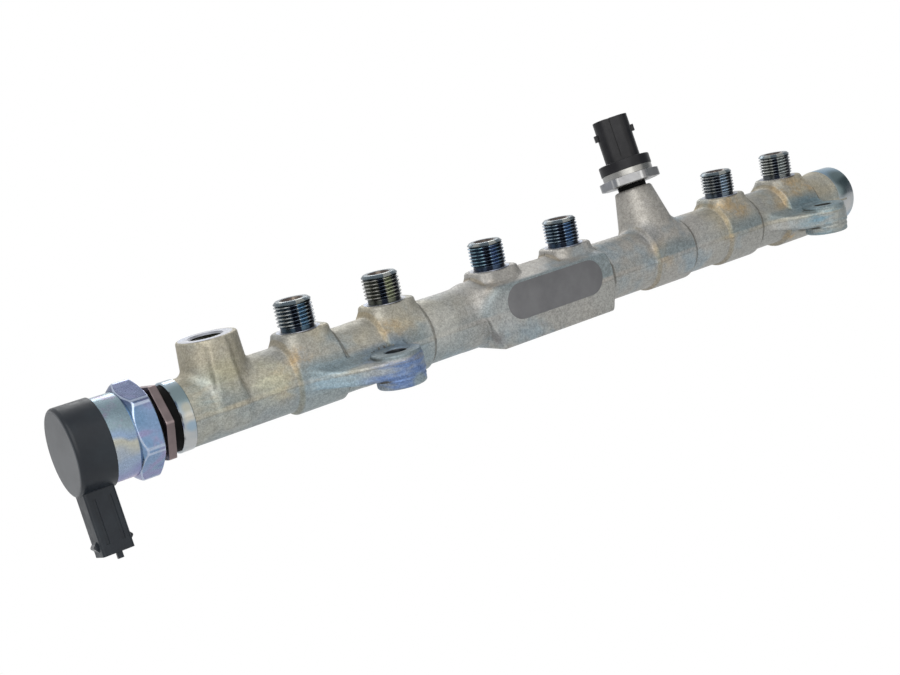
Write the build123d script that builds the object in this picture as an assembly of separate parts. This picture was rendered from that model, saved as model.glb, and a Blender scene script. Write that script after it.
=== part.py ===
from build123d import *
import os
from math import acos, atan2, cos, hypot, pi, radians, sin, tan

# Common rail for a diesel engine: a forged high-pressure tube that feeds its injectors, with a pressure
# control valve screwed into one end and a pressure sensor on top. Millimetres. Part frame: the origin is
# midway between the two bolt holes, on the face that is bolted down; X runs along the rail away from the
# valve, Z points the way the outlets do. The shapes are drawn about the rail's own axis and moved at the end.

# Rail: where its axis runs, its ends, and the forged tube's radius from each place onwards
axis_y = 25.4
axis_z = 12.0
rail_left = -224.3
rail_right = 172.3
tube_radii = [(-218.5, 13.9), (-140.0, 14.1), (-88.0, 14.25), (55.0, 14.4)]
tube_step = 3.0
collar_radius = 14.3
end_band_radius = 15.1
end_band_length = 12.5
end_band_slope = 3.5
end_chamfer = 1.0
bore_radius = 5.0
bore_end = 150.0
drill_point = 3.0
centre_drill_radius = 2.5
centre_drill_depth = 4.5

# Outlets: threaded stubs on forged pads
outlet_xs = [-161.5, -118.8, -62.0, -18.1, 87.3, 131.4]
outlet_ring_radii = [15.5, 15.5, 15.4, 15.4, 15.85, 16.6]
pad_z = 18.25
pad_left = 10.7
pad_right = 11.5
pad_half_width = 8.8
pad_edge = 1.2
pad_corner = 5.5
pad_draft = 5.0
pad_side_draft = 12.0
pad_blend = 5.0
ring_half_length = 11.0
ring_slope = 2.2
thread_radius = 8.0
stub_top = 30.8
stub_chamfer = 1.2
undercut_radius = 7.05
undercut_height = 1.8
cone_mouth_radius = 4.9
cone_half_angle = 30.0
outlet_drill_radius = 1.75

# Return port: the tapped boss near the valve
return_x = -201.4
return_top = 26.6
return_top_radius = 11.7
return_foot_z = 2.0
return_foot_length = 14.2
return_foot_width = 12.3
return_edge = 0.8
return_blend = 3.5
return_tap_radius = 6.2
return_tap_depth = 11.0
return_mouth_radius = 7.0
return_drill_radius = 2.5
rib_x = -202.0
rib_top_width = 8.4
rib_foot_width = 11.6
rib_reach = 13.4
rib_bend = 11.0
rib_top = 23.5
rib_foot = 0.5

# Flat-fronted block between the two middle outlets
block_left = -79.4
block_right = -5.4
block_radius = 15.4
block_front = 16.4
block_face_top = 9.0
block_face_bottom = -13.0
block_left_slope = 0.83
block_right_slope = 0.98
block_corner = 1.5

# Bolt lugs and their arms
lug_spacing = 267.4
lug_radius = 10.4
lug_height = 14.3
lug_hole_radius = 4.6
lug_chamfer = 0.6
arm_roots = [(-46.0, 11.0), (-37.0, 10.6)]
arm_root_y = 8.0
arm_tops = [(13.9, 4.9), (18.0, 1.8), (25.4, 0.3)]
arm_root_bottom = -4.8
arm_bottom = -7.4
arm_margin = 0.4

# Sensor boss: it leans back, its axis crossing the rail's
sensor_x = 37.0
sensor_lean = 12.5
sensor_ring_radius = 15.7
sensor_ring_half_length = 11.6
sensor_boss_top = 33.9
sensor_boss_radius = 9.1
sensor_boss_slope = 12.6
sensor_boss_edge = 1.0
sensor_blend = 2.6
sensor_thread_radius = 6.0
sensor_seat_end = 17.0
sensor_seat_half_angle = 30.0
sensor_drill_radius = 1.6

# Valve port in the rail's left end
port_thread_radius = 11.0
port_thread_depth = 13.3
port_radius = 10.0
port_depth = 28.3
port_chamfer = 0.8

# Valve outside: lengths from the rail's left face outwards
screw_clearance = 0.05
inner_seal_length = 3.5
lock_nut_length = 3.7
outer_seal_length = 2.1
valve_hex_length = 9.4
housing_length = 9.5
cap_length = 14.2
lock_nut_across_flats = 29.0
lock_nut_turn = 53.0
lock_nut_chamfer_angle = 6.0
valve_hex_across_flats = 34.4
valve_hex_turn = 17.5
valve_hex_corner_radius = 19.3
valve_hex_chamfer_angle = 41.0
valve_hex_back_angle = 20.0
housing_radius = 16.6
cap_radius = 17.4
cap_edge = 1.6
seal_radius = 13.3

# Valve inside: nose, seat, ball and pin
nose_radius = 9.2
nose_seal_thickness = 1.0
nose_seal_inner_radius = 5.4
nose_seal_outer_radius = 8.4
o_ring_wire = 2.4
o_ring_from_thread = 1.1
o_ring_groove_depth = 1.5
seat_radius = 4.0
seat_length = 7.0
seat_orifice_radius = 0.6
seat_mouth_radius = 1.5
seat_half_angle = 45.0
seat_inlet_radius = 1.8
seat_inlet_length = 3.5
ball_radius = 1.5
ball_gap = 0.04
outlet_chamber_radius = 3.0
outlet_chamber_length = 4.0
cross_hole_radius = 1.2
cross_hole_count = 4
pin_radius = 1.2
slide_clearance = 0.05

# Valve inside: pot, coil, armature, spring and cover
pot_radius = 15.1
pot_bore_radius = 13.9
pole_radius = 6.0
pole_beyond_housing = 2.5
coil_clearance = 0.15
bobbin_length = 12.6
bobbin_flange = 1.0
bobbin_wall = 0.9
winding_depth = 6.2
armature_radius = 12.6
armature_thickness = 3.0
armature_gap = 0.35
armature_travel = 0.3
armature_pocket_radius = 3.4
armature_pocket_depth = 1.2
armature_vent_radius = 1.3
armature_vent_circle = 8.5
armature_vent_count = 4
cover_thickness = 3.4
cover_pocket_depth = 1.8
cover_clearance = 0.45
spring_wire = 0.7
spring_radius = 2.4
spring_turns = 3.5
spring_gap = 0.05

# Valve connector: hangs below the cap, turned a little to the front
connector_turn = 12.0
connector_width = 12.2
connector_depth = 11.2
connector_reach = 40.5
connector_corner = 1.0
socket_width = 8.6
socket_depth = 7.5
socket_length = 15.0
socket_corner = 1.0
terminal_width = 2.8
terminal_thickness = 0.8
terminal_pitch = 4.2
terminal_showing = 9.0
terminal_root = 17.5
latch_height = 1.6
latch_length = 4.2
latch_width = 4.5
latch_below_edge = 1.8
tongue_width = 2.2
tongue_reach = 2.4
tongue_thickness = 1.4
rib_groove_width = 1.4
rib_groove_depth = 0.8

# Sensor: heights along its own axis from the boss's top
sensor_seal_height = 2.2
sensor_seal_radius = 7.0
sensor_hex_height = 4.5
sensor_hex_across_flats = 27.0
sensor_hex_turn = 49.6
sensor_hex_corner_radius = 14.8
sensor_hex_chamfer_angle = 10.0
sleeve_showing = 2.8
sleeve_radius = 12.4
sleeve_wall = 1.0
flange_height = 5.0
flange_radius = 12.7
flange_edge = 0.6
barrel_turn = -32.0
barrel_width = 17.2
barrel_depth = 12.0
barrel_height = 21.5
barrel_wall = 1.7
barrel_socket_depth = 16.0
barrel_tab_width = 2.4
barrel_tab_height = 3.2
barrel_tab_reach = 1.4
barrel_tab_from_top = 7.5
barrel_groove_width = 2.0
barrel_groove_depth = 0.7
barrel_groove_x = -2.1
cell_radius = 4.2
cell_height = 4.0
cell_membrane = 0.6
cell_drill_radius = 1.25
board_radius = 9.6
board_thickness = 1.2
board_from_hex = 1.4
board_window_radius = 4.6
sensor_terminal_width = 1.5
sensor_terminal_thickness = 0.6
sensor_terminal_pitch = 3.8
sensor_terminal_showing = 8.0

# Worked out from the sizes above
lug_x = lug_spacing / 2
seat_plane = -axis_z
nut_right = rail_left - inner_seal_length
nut_left = nut_right - lock_nut_length
hex_right = nut_left - outer_seal_length
hex_left = hex_right - valve_hex_length
housing_left = hex_left - housing_length
cap_left = housing_left - cap_length
cap_middle = (housing_left + cap_left) / 2
thread_end = rail_left + port_thread_depth
port_end = rail_left + port_depth
nose_end = port_end - nose_seal_thickness
seat_left = nose_end - seat_length
seat_contact = ball_radius * cos(radians(seat_half_angle))
ball_x = (seat_left + (seat_mouth_radius - seat_contact) / tan(radians(seat_half_angle))
          - (ball_radius + ball_gap) * sin(radians(seat_half_angle)))
chamber_left = seat_left - outlet_chamber_length
pole_face = housing_left - pole_beyond_housing
coil_floor = pole_face + bobbin_length + 2 * coil_clearance
armature_right = pole_face - armature_gap
armature_left = armature_right - armature_thickness
cover_right = armature_left - armature_travel - cover_clearance
cover_left = cover_right - cover_thickness
hex_bottom = sensor_boss_top + sensor_seal_height
hex_top = hex_bottom + sensor_hex_height
flange_bottom = hex_top + sleeve_showing
flange_top = flange_bottom + flange_height
barrel_top = flange_top + barrel_height


def rod(x_start, x_end, radius):
    """Round bar on the rail's axis."""
    bar = Cylinder(radius, x_end - x_start, align=(Align.CENTER, Align.CENTER, Align.MIN))
    return Pos(x_start, 0, 0) * Rot(0, 90, 0) * bar


def tube_ring(x_start, x_end, radius, inner_radius):
    """Round ring on the rail's axis."""
    return rod(x_start, x_end, radius) - rod(x_start, x_end, inner_radius)


def turned(points):
    """Solid of revolution about the rail's axis from the (x, radius) points of its half section."""
    return revolve(Plane.XZ * make_face(Polyline(*points, close=True)), Axis.X)


def post(bottom, top, radius):
    """Upright round bar on the Z axis."""
    return Pos(0, 0, bottom) * Cylinder(radius, top - bottom, align=(Align.CENTER, Align.CENTER, Align.MIN))


def upright_turned(points):
    """Solid of revolution about the Z axis from the (radius, z) points of its half section."""
    return revolve(Plane.XZ * make_face(Polyline(*points, close=True)), Axis.Z)


def hexagon_bar(across_flats, corner_radius, length, turn, left_angle, right_angle):
    """Hexagonal bar along X from the origin, its corners turned to a radius and chamfered at both ends."""
    flat = across_flats / 2
    left = (corner_radius - flat) * tan(radians(left_angle))
    right = length - (corner_radius - flat) * tan(radians(right_angle))
    bar = extrude(Plane.YZ * Rot(0, 0, turn) * RegularPolygon(flat / cos(radians(30)), 6), length)
    return bar & turned([
        (0, 0), (0, flat), (left, corner_radius), (right, corner_radius), (length, flat), (length, 0)])


def teardrop(radius, half_width, top, corner):
    """Section across the rail: a round with a narrower flat-topped head on tangent sides."""
    side = atan2(top, half_width) - acos(radius / hypot(half_width, top))
    foot_y, foot_z = radius * cos(side), radius * sin(side)
    head = make_face(Polyline(
        (0, 0), (foot_y, foot_z), (half_width, top), (-half_width, top), (-foot_y, foot_z), close=True))
    head = fillet(head.vertices().sort_by(Axis.Y)[-2:], corner)
    return Plane.YZ * (Circle(radius) + head)


def flare(left, right, base_radius, blend):
    """All of a boss between left and right, running out to the tube in a hollow round at either end."""
    root = base_radius - 0.1
    high = 3 * base_radius
    bend = blend * (1 - cos(radians(45)))
    outline = [
        Line((left - blend, 0), (left - blend, root)),
        ThreePointArc((left - blend, root), (left - bend, root + bend), (left, root + blend)),
        Polyline((left, root + blend), (left, high), (right, high), (right, root + blend)),
        ThreePointArc((right, root + blend), (right + bend, root + bend), (right + blend, root)),
        Line((right + blend, root), (right + blend, 0)),
        Line((right + blend, 0), (left - blend, 0)),
    ]
    return revolve(Plane.XZ * make_face(outline), Axis.X)


def tube_radius_at(x):
    """Radius of the forged tube at a place along it."""
    radius = tube_radii[0][1]
    for start, value in tube_radii:
        if x >= start:
            radius = value
    return radius


def forged_tube():
    """The plain tube with the turned collar at its left end and the turned band at its right end."""
    points = [(rail_left, 0), (rail_left, collar_radius - 0.5), (rail_left + 0.5, collar_radius)]
    points.append((tube_radii[0][0] - 0.6, collar_radius))
    points.append((tube_radii[0][0], tube_radii[0][1]))
    for (start, radius), (_, radius_before) in zip(tube_radii[1:], tube_radii[:-1]):
        points += [(start, radius_before), (start + tube_step, radius)]
    band_left = rail_right - end_band_length
    points += [
        (band_left - end_band_slope, tube_radii[-1][1]),
        (band_left, end_band_radius),
        (rail_right - end_chamfer, end_band_radius),
        (rail_right, end_band_radius - end_chamfer),
        (rail_right, 0),
    ]
    return turned(points)


def pad_section(ring_radius):
    """Section across the rail at an outlet: the ring with its drafted pad on hollow rounds."""
    spread = pad_z * tan(radians(pad_side_draft))
    head = make_face(Polyline(
        (-pad_half_width - spread, 0), (-pad_half_width, pad_z), (pad_half_width, pad_z),
        (pad_half_width + spread, 0), close=True))
    section = Circle(ring_radius) + head
    corners = section.vertices().filter_by_position(Axis.Y, 1, pad_z + 1)
    section = fillet(corners.filter_by_position(Axis.Y, 1, pad_z - 1), pad_blend)
    section = fillet(section.vertices().sort_by(Axis.Y)[-2:], pad_edge)
    return Plane.YZ * section


def pad_plan(depth):
    """Rounded outline of an outlet's pad, widened by its draft at a depth under its face."""
    spread = 2 * depth * tan(radians(pad_draft))
    width = 2 * pad_half_width + 2 * depth
    outline = RectangleRounded(pad_left + pad_right + spread, width, pad_corner + spread / 2)
    return Pos((pad_right - pad_left) / 2, 0, pad_z - depth) * outline


def outlet_boss(x, ring_radius):
    """Pad of one outlet with the thick ring of the tube under it."""
    root = tube_radius_at(x) - 0.1
    reach = 2 * ring_half_length + 2 * ring_slope
    column = Pos(-reach / 2, 0, 0) * extrude(pad_section(ring_radius), reach)
    mantle = loft([pad_plan(pad_z), pad_plan(0)], ruled=True)
    end = ring_half_length + ring_slope
    ring = turned([
        (-end, 0), (-end, root), (-ring_half_length, ring_radius),
        (ring_half_length, ring_radius), (end, root), (end, 0)])
    return Pos(x, 0, 0) * ((column & mantle) + ring)


def outlet_stub(x):
    """Threaded stub of one outlet, with its undercut and the chamfer at its tip."""
    stub = upright_turned([
        (0, pad_z - 1), (undercut_radius, pad_z - 1), (undercut_radius, pad_z + undercut_height - 0.6),
        (thread_radius, pad_z + undercut_height), (thread_radius, stub_top - stub_chamfer),
        (thread_radius - stub_chamfer, stub_top), (0, stub_top)])
    return Pos(x, 0, 0) * stub


def outlet_hole(x):
    """Sealing cone and drilling of one outlet, down into the rail's bore."""
    depth = (cone_mouth_radius - outlet_drill_radius) / tan(radians(cone_half_angle))
    hole = upright_turned([
        (0, 0), (outlet_drill_radius, 0), (outlet_drill_radius, stub_top - depth),
        (cone_mouth_radius, stub_top), (cone_mouth_radius, stub_top + 1), (0, stub_top + 1)])
    return Pos(x, 0, 0) * hole


def return_boss():
    """Tapered boss of the return port on its length of tube, filleted in, with the rib down its front."""
    base_radius = tube_radius_at(return_x)
    half = return_foot_length + 2 * return_blend
    length = Pos(return_x, 0, 0) * rod(-half, half, base_radius)
    column = loft([
        Pos(return_x, 0, return_foot_z) * Ellipse(return_foot_length, return_foot_width),
        Pos(return_x, 0, return_top) * Circle(return_top_radius)], ruled=True)
    column = chamfer(column.faces().sort_by(Axis.Z)[-1].edges(), return_edge)
    boss = length + column
    seams = [edge for edge in boss.edges() if edge.length > 2 * pi * return_top_radius + return_blend
             and 0 < edge.bounding_box().min.Z and edge.bounding_box().max.Z < base_radius + 1]
    boss = fillet(seams, return_blend)
    side = make_face(Polyline(
        (0, rib_foot), (-base_radius, rib_foot), (-rib_reach, rib_bend),
        (-return_top_radius + return_edge, rib_top), (0, rib_top), close=True))
    front = make_face(Polyline(
        (-rib_foot_width / 2, rib_foot), (-rib_top_width / 2, rib_top),
        (rib_top_width / 2, rib_top), (rib_foot_width / 2, rib_foot), close=True))
    rib = Pos(rib_x - rib_foot_width, 0, 0) * extrude(Plane.YZ * side, 2 * rib_foot_width)
    return boss + (rib & Pos(rib_x, 0, 0) * extrude(Plane.XZ * front, 2 * base_radius))


def label_block():
    """Thick flat-fronted length of the rail between the two middle outlets."""
    reach = hypot(block_front, block_face_top)
    upper = atan2(block_face_top, -block_front) - acos(block_radius / reach)
    reach = hypot(block_front, block_face_bottom)
    lower = atan2(block_face_bottom, -block_front) + acos(block_radius / reach)
    front = make_face(Polyline(
        (0, 0),
        (block_radius * cos(upper), block_radius * sin(upper)),
        (-block_front, block_face_top), (-block_front, block_face_bottom),
        (block_radius * cos(lower), block_radius * sin(lower)), close=True))
    front = fillet(front.vertices().sort_by(Axis.X)[:2], block_corner)
    section = Plane.YZ * (Circle(block_radius) + front)
    body = Pos(block_left, 0, 0) * extrude(section, block_right - block_left)
    high = 1.6 * block_front
    root = tube_radius_at(block_left) - 0.5
    ends = turned([
        (block_left, 0), (block_left, root), (block_left + (high - root) * block_left_slope, high),
        (block_right - (high - root) * block_right_slope, high), (block_right, root), (block_right, 0)])
    return body & ends


def lug(side, root):
    """Bolt lug and the arm that carries it; side is -1 on the left and 1 on the right."""
    x = side * lug_x
    top = seat_plane + lug_height
    eye = Pos(x, -axis_y, 0) * post(seat_plane, top, lug_radius)
    eye = chamfer(eye.faces().sort_by(Axis.Z)[-1].edges(), lug_chamfer)
    outline = make_hull([
        *(Pos(x, -axis_y) * Circle(lug_radius + arm_margin)).edges(),
        *Polyline((x + root[0], -arm_root_y), (x + root[1], -arm_root_y)).edges()])
    plan = Pos(0, 0, seat_plane) * extrude(make_face(outline), 2 * axis_z)
    outer = -axis_y - lug_radius - 1
    profile = make_face(Polyline(
        (-arm_root_y, arm_root_bottom), (-tube_radii[0][1], arm_root_bottom),
        (-axis_y, arm_bottom), (outer, arm_bottom),
        (outer, arm_tops[-1][1]), *[(-reach, top) for reach, top in reversed(arm_tops)],
        (-arm_root_y, arm_tops[0][1] + 1), close=True))
    length = root[1] - root[0] + 2 * lug_radius
    slab = Pos(x + root[0] - 1, 0, 0) * extrude(Plane.YZ * profile, length)
    return eye + (plan & slab)


def lug_hole(side):
    """Bolt hole of one lug, chamfered at its upper mouth."""
    top = seat_plane + lug_height
    wide = lug_hole_radius + lug_chamfer
    hole = upright_turned([
        (0, seat_plane - 1), (lug_hole_radius, seat_plane - 1), (lug_hole_radius, top - lug_chamfer),
        (wide, top), (wide, top + 1), (0, top + 1)])
    return Pos(side * lug_x, -axis_y, 0) * hole


def on_sensor_axis(shape, turn=0):
    """Stands a shape drawn on the Z axis on the sensor's leaning axis, turned about it."""
    return Pos(sensor_x, 0, 0) * Rot(-sensor_lean, 0, 0) * Rot(0, 0, turn) * shape


def sensor_boss():
    """Tapered boss of the sensor with the thick ring of the tube under it."""
    base_radius = tube_radius_at(sensor_x)
    foot_radius = sensor_boss_radius + sensor_boss_top * tan(radians(sensor_boss_slope))
    cone = upright_turned([
        (0, 0), (foot_radius, 0),
        (sensor_boss_radius + sensor_boss_edge * tan(radians(sensor_boss_slope)),
         sensor_boss_top - sensor_boss_edge),
        (sensor_boss_radius - sensor_boss_edge, sensor_boss_top), (0, sensor_boss_top)])
    side = teardrop(sensor_ring_radius, sensor_boss_radius, sensor_boss_top, sensor_boss_edge)
    width = 2 * (foot_radius + sensor_blend)
    cheeks = Pos(-width / 2, 0, 0) * extrude(side, width)
    ring = Pos(-width / 2, 0, 0) * Rot(0, 90, 0) * Cylinder(
        sensor_ring_radius, width, align=(Align.CENTER, Align.CENTER, Align.MIN))
    half = sensor_ring_half_length
    return on_sensor_axis((cone & cheeks) + (ring & flare(-half, half, base_radius, sensor_blend)))


def sensor_hole():
    """Tapped hole, sealing cone and drilling of the sensor boss."""
    cone_depth = (sensor_thread_radius - sensor_drill_radius) / tan(radians(sensor_seat_half_angle))
    return on_sensor_axis(upright_turned([
        (0, 0), (sensor_drill_radius, 0), (sensor_drill_radius, sensor_seat_end - cone_depth),
        (sensor_thread_radius, sensor_seat_end), (sensor_thread_radius, sensor_boss_top + 1),
        (0, sensor_boss_top + 1)]))


def return_hole():
    """Tapped return port and its drilling into the chamber round the valve's nose."""
    floor = return_top - return_tap_depth
    rim = return_mouth_radius - return_tap_radius
    return Pos(return_x, 0, 0) * upright_turned([
        (0, 0), (return_drill_radius, 0), (return_drill_radius, floor - 2), (return_tap_radius, floor),
        (return_tap_radius, return_top - rim), (return_mouth_radius, return_top),
        (return_mouth_radius, return_top + 1), (0, return_top + 1)])


def rail_holes():
    """Main bore, valve port and the centre drilled for turning the right end."""
    bore = turned([
        (rail_left - 1, 0), (rail_left - 1, port_thread_radius + port_chamfer),
        (rail_left, port_thread_radius + port_chamfer), (rail_left + port_chamfer, port_thread_radius),
        (thread_end, port_thread_radius), (thread_end, port_radius), (port_end, port_radius),
        (port_end, bore_radius), (bore_end, bore_radius), (bore_end + drill_point, 0)])
    centre = turned([
        (rail_right + 1, 0), (rail_right + 1, centre_drill_radius), (rail_right, centre_drill_radius),
        (rail_right - centre_drill_depth, 0)])
    return bore + centre


def rail_body():
    """The forged rail, in one piece with its pads, stubs, bosses, block and lugs."""
    body = forged_tube() + label_block() + return_boss() + sensor_boss()
    for x, ring_radius in zip(outlet_xs, outlet_ring_radii):
        body += outlet_boss(x, ring_radius)
        body += outlet_stub(x)
    for side, root in zip((-1, 1), arm_roots):
        body += lug(side, root)
    for side in (-1, 1):
        body -= lug_hole(side)
    for x in outlet_xs:
        body -= outlet_hole(x)
    return body - sensor_hole() - return_hole() - rail_holes()


def lock_nut():
    """Thin hexagonal nut that holds the valve at its angle."""
    corner_radius = lock_nut_across_flats / 2 / cos(radians(30))
    nut = Pos(nut_left, 0, 0) * hexagon_bar(
        lock_nut_across_flats, corner_radius, lock_nut_length, lock_nut_turn,
        lock_nut_chamfer_angle, lock_nut_chamfer_angle)
    return nut - rod(nut_left - 1, nut_right + 1, port_thread_radius)


def soft_ring(x_start, x_end):
    """Rubber ring pressed between two faces round the valve's shank."""
    return tube_ring(x_start, x_end, seal_radius, port_thread_radius)


def valve_body():
    """Turned valve body: hexagon, housing, coil pot with its pole, threaded shank and nose."""
    shank_radius = port_thread_radius - screw_clearance
    groove_left = thread_end + o_ring_from_thread
    groove_right = groove_left + o_ring_wire
    groove_radius = nose_radius - o_ring_groove_depth
    outside = turned([
        (cover_left, 0), (cover_left, pot_radius - screw_clearance), (housing_left, pot_radius - screw_clearance),
        (housing_left, housing_radius), (hex_left + 1, housing_radius), (hex_right - 0.5, housing_radius - 0.9),
        (hex_right, seal_radius), (hex_right, shank_radius), (thread_end - 0.5, shank_radius),
        (thread_end - 0.5, nose_radius), (groove_left, nose_radius), (groove_left, groove_radius),
        (groove_right, groove_radius), (groove_right, nose_radius), (nose_end - 0.5, nose_radius),
        (nose_end, nose_radius - 0.5), (nose_end, 0)])
    body = outside + Pos(hex_left, 0, 0) * hexagon_bar(
        valve_hex_across_flats, valve_hex_corner_radius, valve_hex_length, valve_hex_turn,
        valve_hex_chamfer_angle, valve_hex_back_angle)
    body -= rod(cover_left - 1, pole_face, pot_bore_radius)
    body -= tube_ring(pole_face - 1, coil_floor, pot_bore_radius, pole_radius)
    body -= rod(pole_face - 1, chamber_left + 1, pin_radius + slide_clearance)
    body -= rod(chamber_left, seat_left + 1, outlet_chamber_radius)
    body -= rod(seat_left, nose_end + 1, seat_radius)
    for turn in range(cross_hole_count):
        hole = Pos((chamber_left + seat_left) / 2, 0, 0) * post(0, port_radius, cross_hole_radius)
        body -= Rot(45 + turn * 360 / cross_hole_count, 0, 0) * hole
    return body


def shank_o_ring():
    """Rubber ring in its groove behind the thread, which keeps the return fuel in."""
    groove_left = thread_end + o_ring_from_thread
    inner = nose_radius - o_ring_groove_depth
    middle = (inner + port_radius) / 2
    half = (port_radius - inner) / 2
    section = Pos(groove_left + o_ring_wire / 2, middle) * Ellipse(o_ring_wire / 2, half - 0.02)
    return revolve(Plane.XZ * section, Axis.X)


def nose_seal():
    """Soft iron ring that the nose presses on the step of the port."""
    return tube_ring(nose_end, port_end, nose_seal_outer_radius, nose_seal_inner_radius)


def valve_seat():
    """Hardened seat in the nose: inlet, throttle and the cone that the ball closes."""
    cone_depth = (seat_mouth_radius - seat_orifice_radius) / tan(radians(seat_half_angle))
    plug = rod(seat_left, nose_end, seat_radius)
    passage = turned([
        (seat_left - 1, 0), (seat_left - 1, seat_mouth_radius), (seat_left, seat_mouth_radius),
        (seat_left + cone_depth, seat_orifice_radius), (nose_end - seat_inlet_length, seat_orifice_radius),
        (nose_end - seat_inlet_length, seat_inlet_radius), (nose_end + 1, seat_inlet_radius),
        (nose_end + 1, 0)])
    return plug - passage


def valve_ball():
    """Ball that closes the seat."""
    return Pos(ball_x, 0, 0) * Sphere(ball_radius)


def valve_pin():
    """Pin from the armature to the ball."""
    return rod(armature_left + armature_pocket_depth, ball_x - ball_radius, pin_radius)


def armature():
    """Disc drawn to the pole, pressed on the pin, with a pocket for the spring and vents."""
    disc = rod(armature_left, armature_right, armature_radius)
    disc -= rod(armature_left - 1, armature_left + armature_pocket_depth, armature_pocket_radius)
    disc -= rod(armature_left - 1, armature_right + 1, pin_radius)
    vent = Pos(0, 0, armature_vent_circle) * rod(armature_left - 1, armature_right + 1, armature_vent_radius)
    for turn in range(armature_vent_count):
        disc -= Rot(turn * 360 / armature_vent_count, 0, 0) * vent
    return disc


def valve_spring():
    """Closing spring between the cover and the armature."""
    start = cover_right - cover_pocket_depth + spring_gap
    end = armature_left + armature_pocket_depth - spring_gap
    length = end - start - spring_wire
    path = Helix(length / spring_turns, length, spring_radius)
    wire = sweep(Plane(origin=path @ 0, z_dir=path % 0) * Circle(spring_wire / 2), path)
    return Pos(start + spring_wire / 2, 0, 0) * Rot(0, 90, 0) * wire


def end_cover():
    """Steel disc that closes the pot, with the spring's pocket."""
    disc = rod(cover_left, cover_right, pot_bore_radius - screw_clearance)
    return disc - rod(cover_right - cover_pocket_depth, cover_right + 1, armature_pocket_radius)


def coil_bobbin():
    """Moulded spool of the coil."""
    left = pole_face + coil_clearance
    inner = pole_radius + coil_clearance
    outer = pot_bore_radius - coil_clearance
    spool = tube_ring(left, left + bobbin_length, inner + bobbin_wall, inner)
    for start in (left, left + bobbin_length - bobbin_flange):
        spool += tube_ring(start, start + bobbin_flange, outer, inner)
    return spool


def coil_winding():
    """Copper winding, as one ring."""
    left = pole_face + coil_clearance + bobbin_flange
    inner = pole_radius + coil_clearance + bobbin_wall
    return tube_ring(left, left + bobbin_length - 2 * bobbin_flange, inner + winding_depth, inner)


def on_connector_axis(shape):
    """Hangs a shape drawn along Z, socket upwards, on the valve connector's axis."""
    return Pos(cap_middle, 0, 0) * Rot(180 - connector_turn, 0, 0) * shape


def rounded_bar(width, depth, corner, bottom, top):
    """Upright bar with rounded corners."""
    return Pos(0, 0, bottom) * extrude(RectangleRounded(width, depth, corner), top - bottom)


def valve_terminals():
    """The two blades of the valve's connector."""
    blades = []
    for side in (-1, 1):
        top = connector_reach - socket_length + terminal_showing
        blade = Box(terminal_thickness, terminal_width, top - terminal_root,
                    align=(Align.CENTER, Align.CENTER, Align.MIN))
        blade = chamfer(blade.faces().sort_by(Axis.Z)[-1].edges(), terminal_thickness / 4)
        blades.append(on_connector_axis(Pos(side * terminal_pitch / 2, 0, terminal_root) * blade))
    return blades


def valve_cap():
    """Moulded cap over the pot, in one piece with the connector that hangs from it."""
    cap = rod(cap_left, housing_left, cap_radius)
    cap = fillet(cap.edges().sort_by(Axis.X)[0], cap_edge)
    stem = rounded_bar(connector_width, connector_depth, connector_corner, 0, connector_reach)
    for side in (-1, 1):
        groove = Box(rib_groove_width, rib_groove_depth, connector_reach - cap_radius - 6)
        place = Pos(side * connector_width / 4, connector_depth / 2, connector_reach / 2 + cap_radius / 2 - 1)
        stem -= place * groove
    latch = make_face(Polyline(
        (0, 0), (latch_height, latch_below_edge), (latch_height, latch_below_edge + 0.6),
        (0, latch_length), close=True))
    latch = Pos(0, -latch_width / 2, 0) * extrude(Plane.XZ * latch, -latch_width)
    latch = Rot(180, 0, 0) * latch
    stem += Pos(connector_width / 2, 0, connector_reach - 2) * latch
    stem += Pos(-connector_width / 2, 0, connector_reach - 2) * mirror(latch, Plane.YZ)
    tongue = Box(tongue_width, tongue_thickness, tongue_reach + 4, align=(Align.CENTER, Align.MIN, Align.MAX))
    stem += Pos(0, socket_depth / 2, connector_reach + tongue_reach) * tongue
    socket = rounded_bar(
        socket_width, socket_depth, socket_corner, connector_reach - socket_length, connector_reach + 5)
    cap += on_connector_axis(stem - socket)
    cap -= rod(cover_left, housing_left + 1, pot_radius)
    for blade in valve_terminals():
        cap -= blade
    return cap


def sensor_body():
    """Sensor body: hexagon, threaded shank with its sealing cone, and the seat of the measuring cell."""
    cone_depth = (sensor_thread_radius - sensor_drill_radius) / tan(radians(sensor_seat_half_angle))
    shank_end = sensor_seat_end - cone_depth * 0.6
    shank_tip = sensor_thread_radius - 0.6 * (sensor_thread_radius - sensor_drill_radius)
    shank_radius = sensor_thread_radius - screw_clearance
    stem = upright_turned([
        (0, shank_end), (shank_tip - screw_clearance, shank_end), (shank_radius, sensor_seat_end),
        (shank_radius, hex_bottom), (sleeve_radius - sleeve_wall, hex_bottom),
        (sleeve_radius - sleeve_wall, hex_top), (0, hex_top)])
    hexagon = hexagon_bar(
        sensor_hex_across_flats, sensor_hex_corner_radius, sensor_hex_height, sensor_hex_turn,
        sensor_hex_chamfer_angle, sensor_hex_chamfer_angle)
    stem += Pos(0, 0, hex_bottom) * Rot(0, -90, 0) * hexagon
    stem -= post(shank_end - 1, hex_top + 1, cell_drill_radius)
    return on_sensor_axis(stem)


def sensor_seal():
    """Rubber ring on the shank between the boss and the hexagon."""
    ring = post(sensor_boss_top, hex_bottom, sensor_seal_radius)
    shank_radius = sensor_thread_radius - screw_clearance
    return on_sensor_axis(ring - post(sensor_boss_top - 1, hex_bottom + 1, shank_radius))


def sensor_cell():
    """Steel measuring cell welded on the body, closed by its thin membrane."""
    cell = post(hex_top, hex_top + cell_height, cell_radius)
    return on_sensor_axis(cell - post(hex_top - 1, hex_top + cell_height - cell_membrane, cell_drill_radius))


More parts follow.
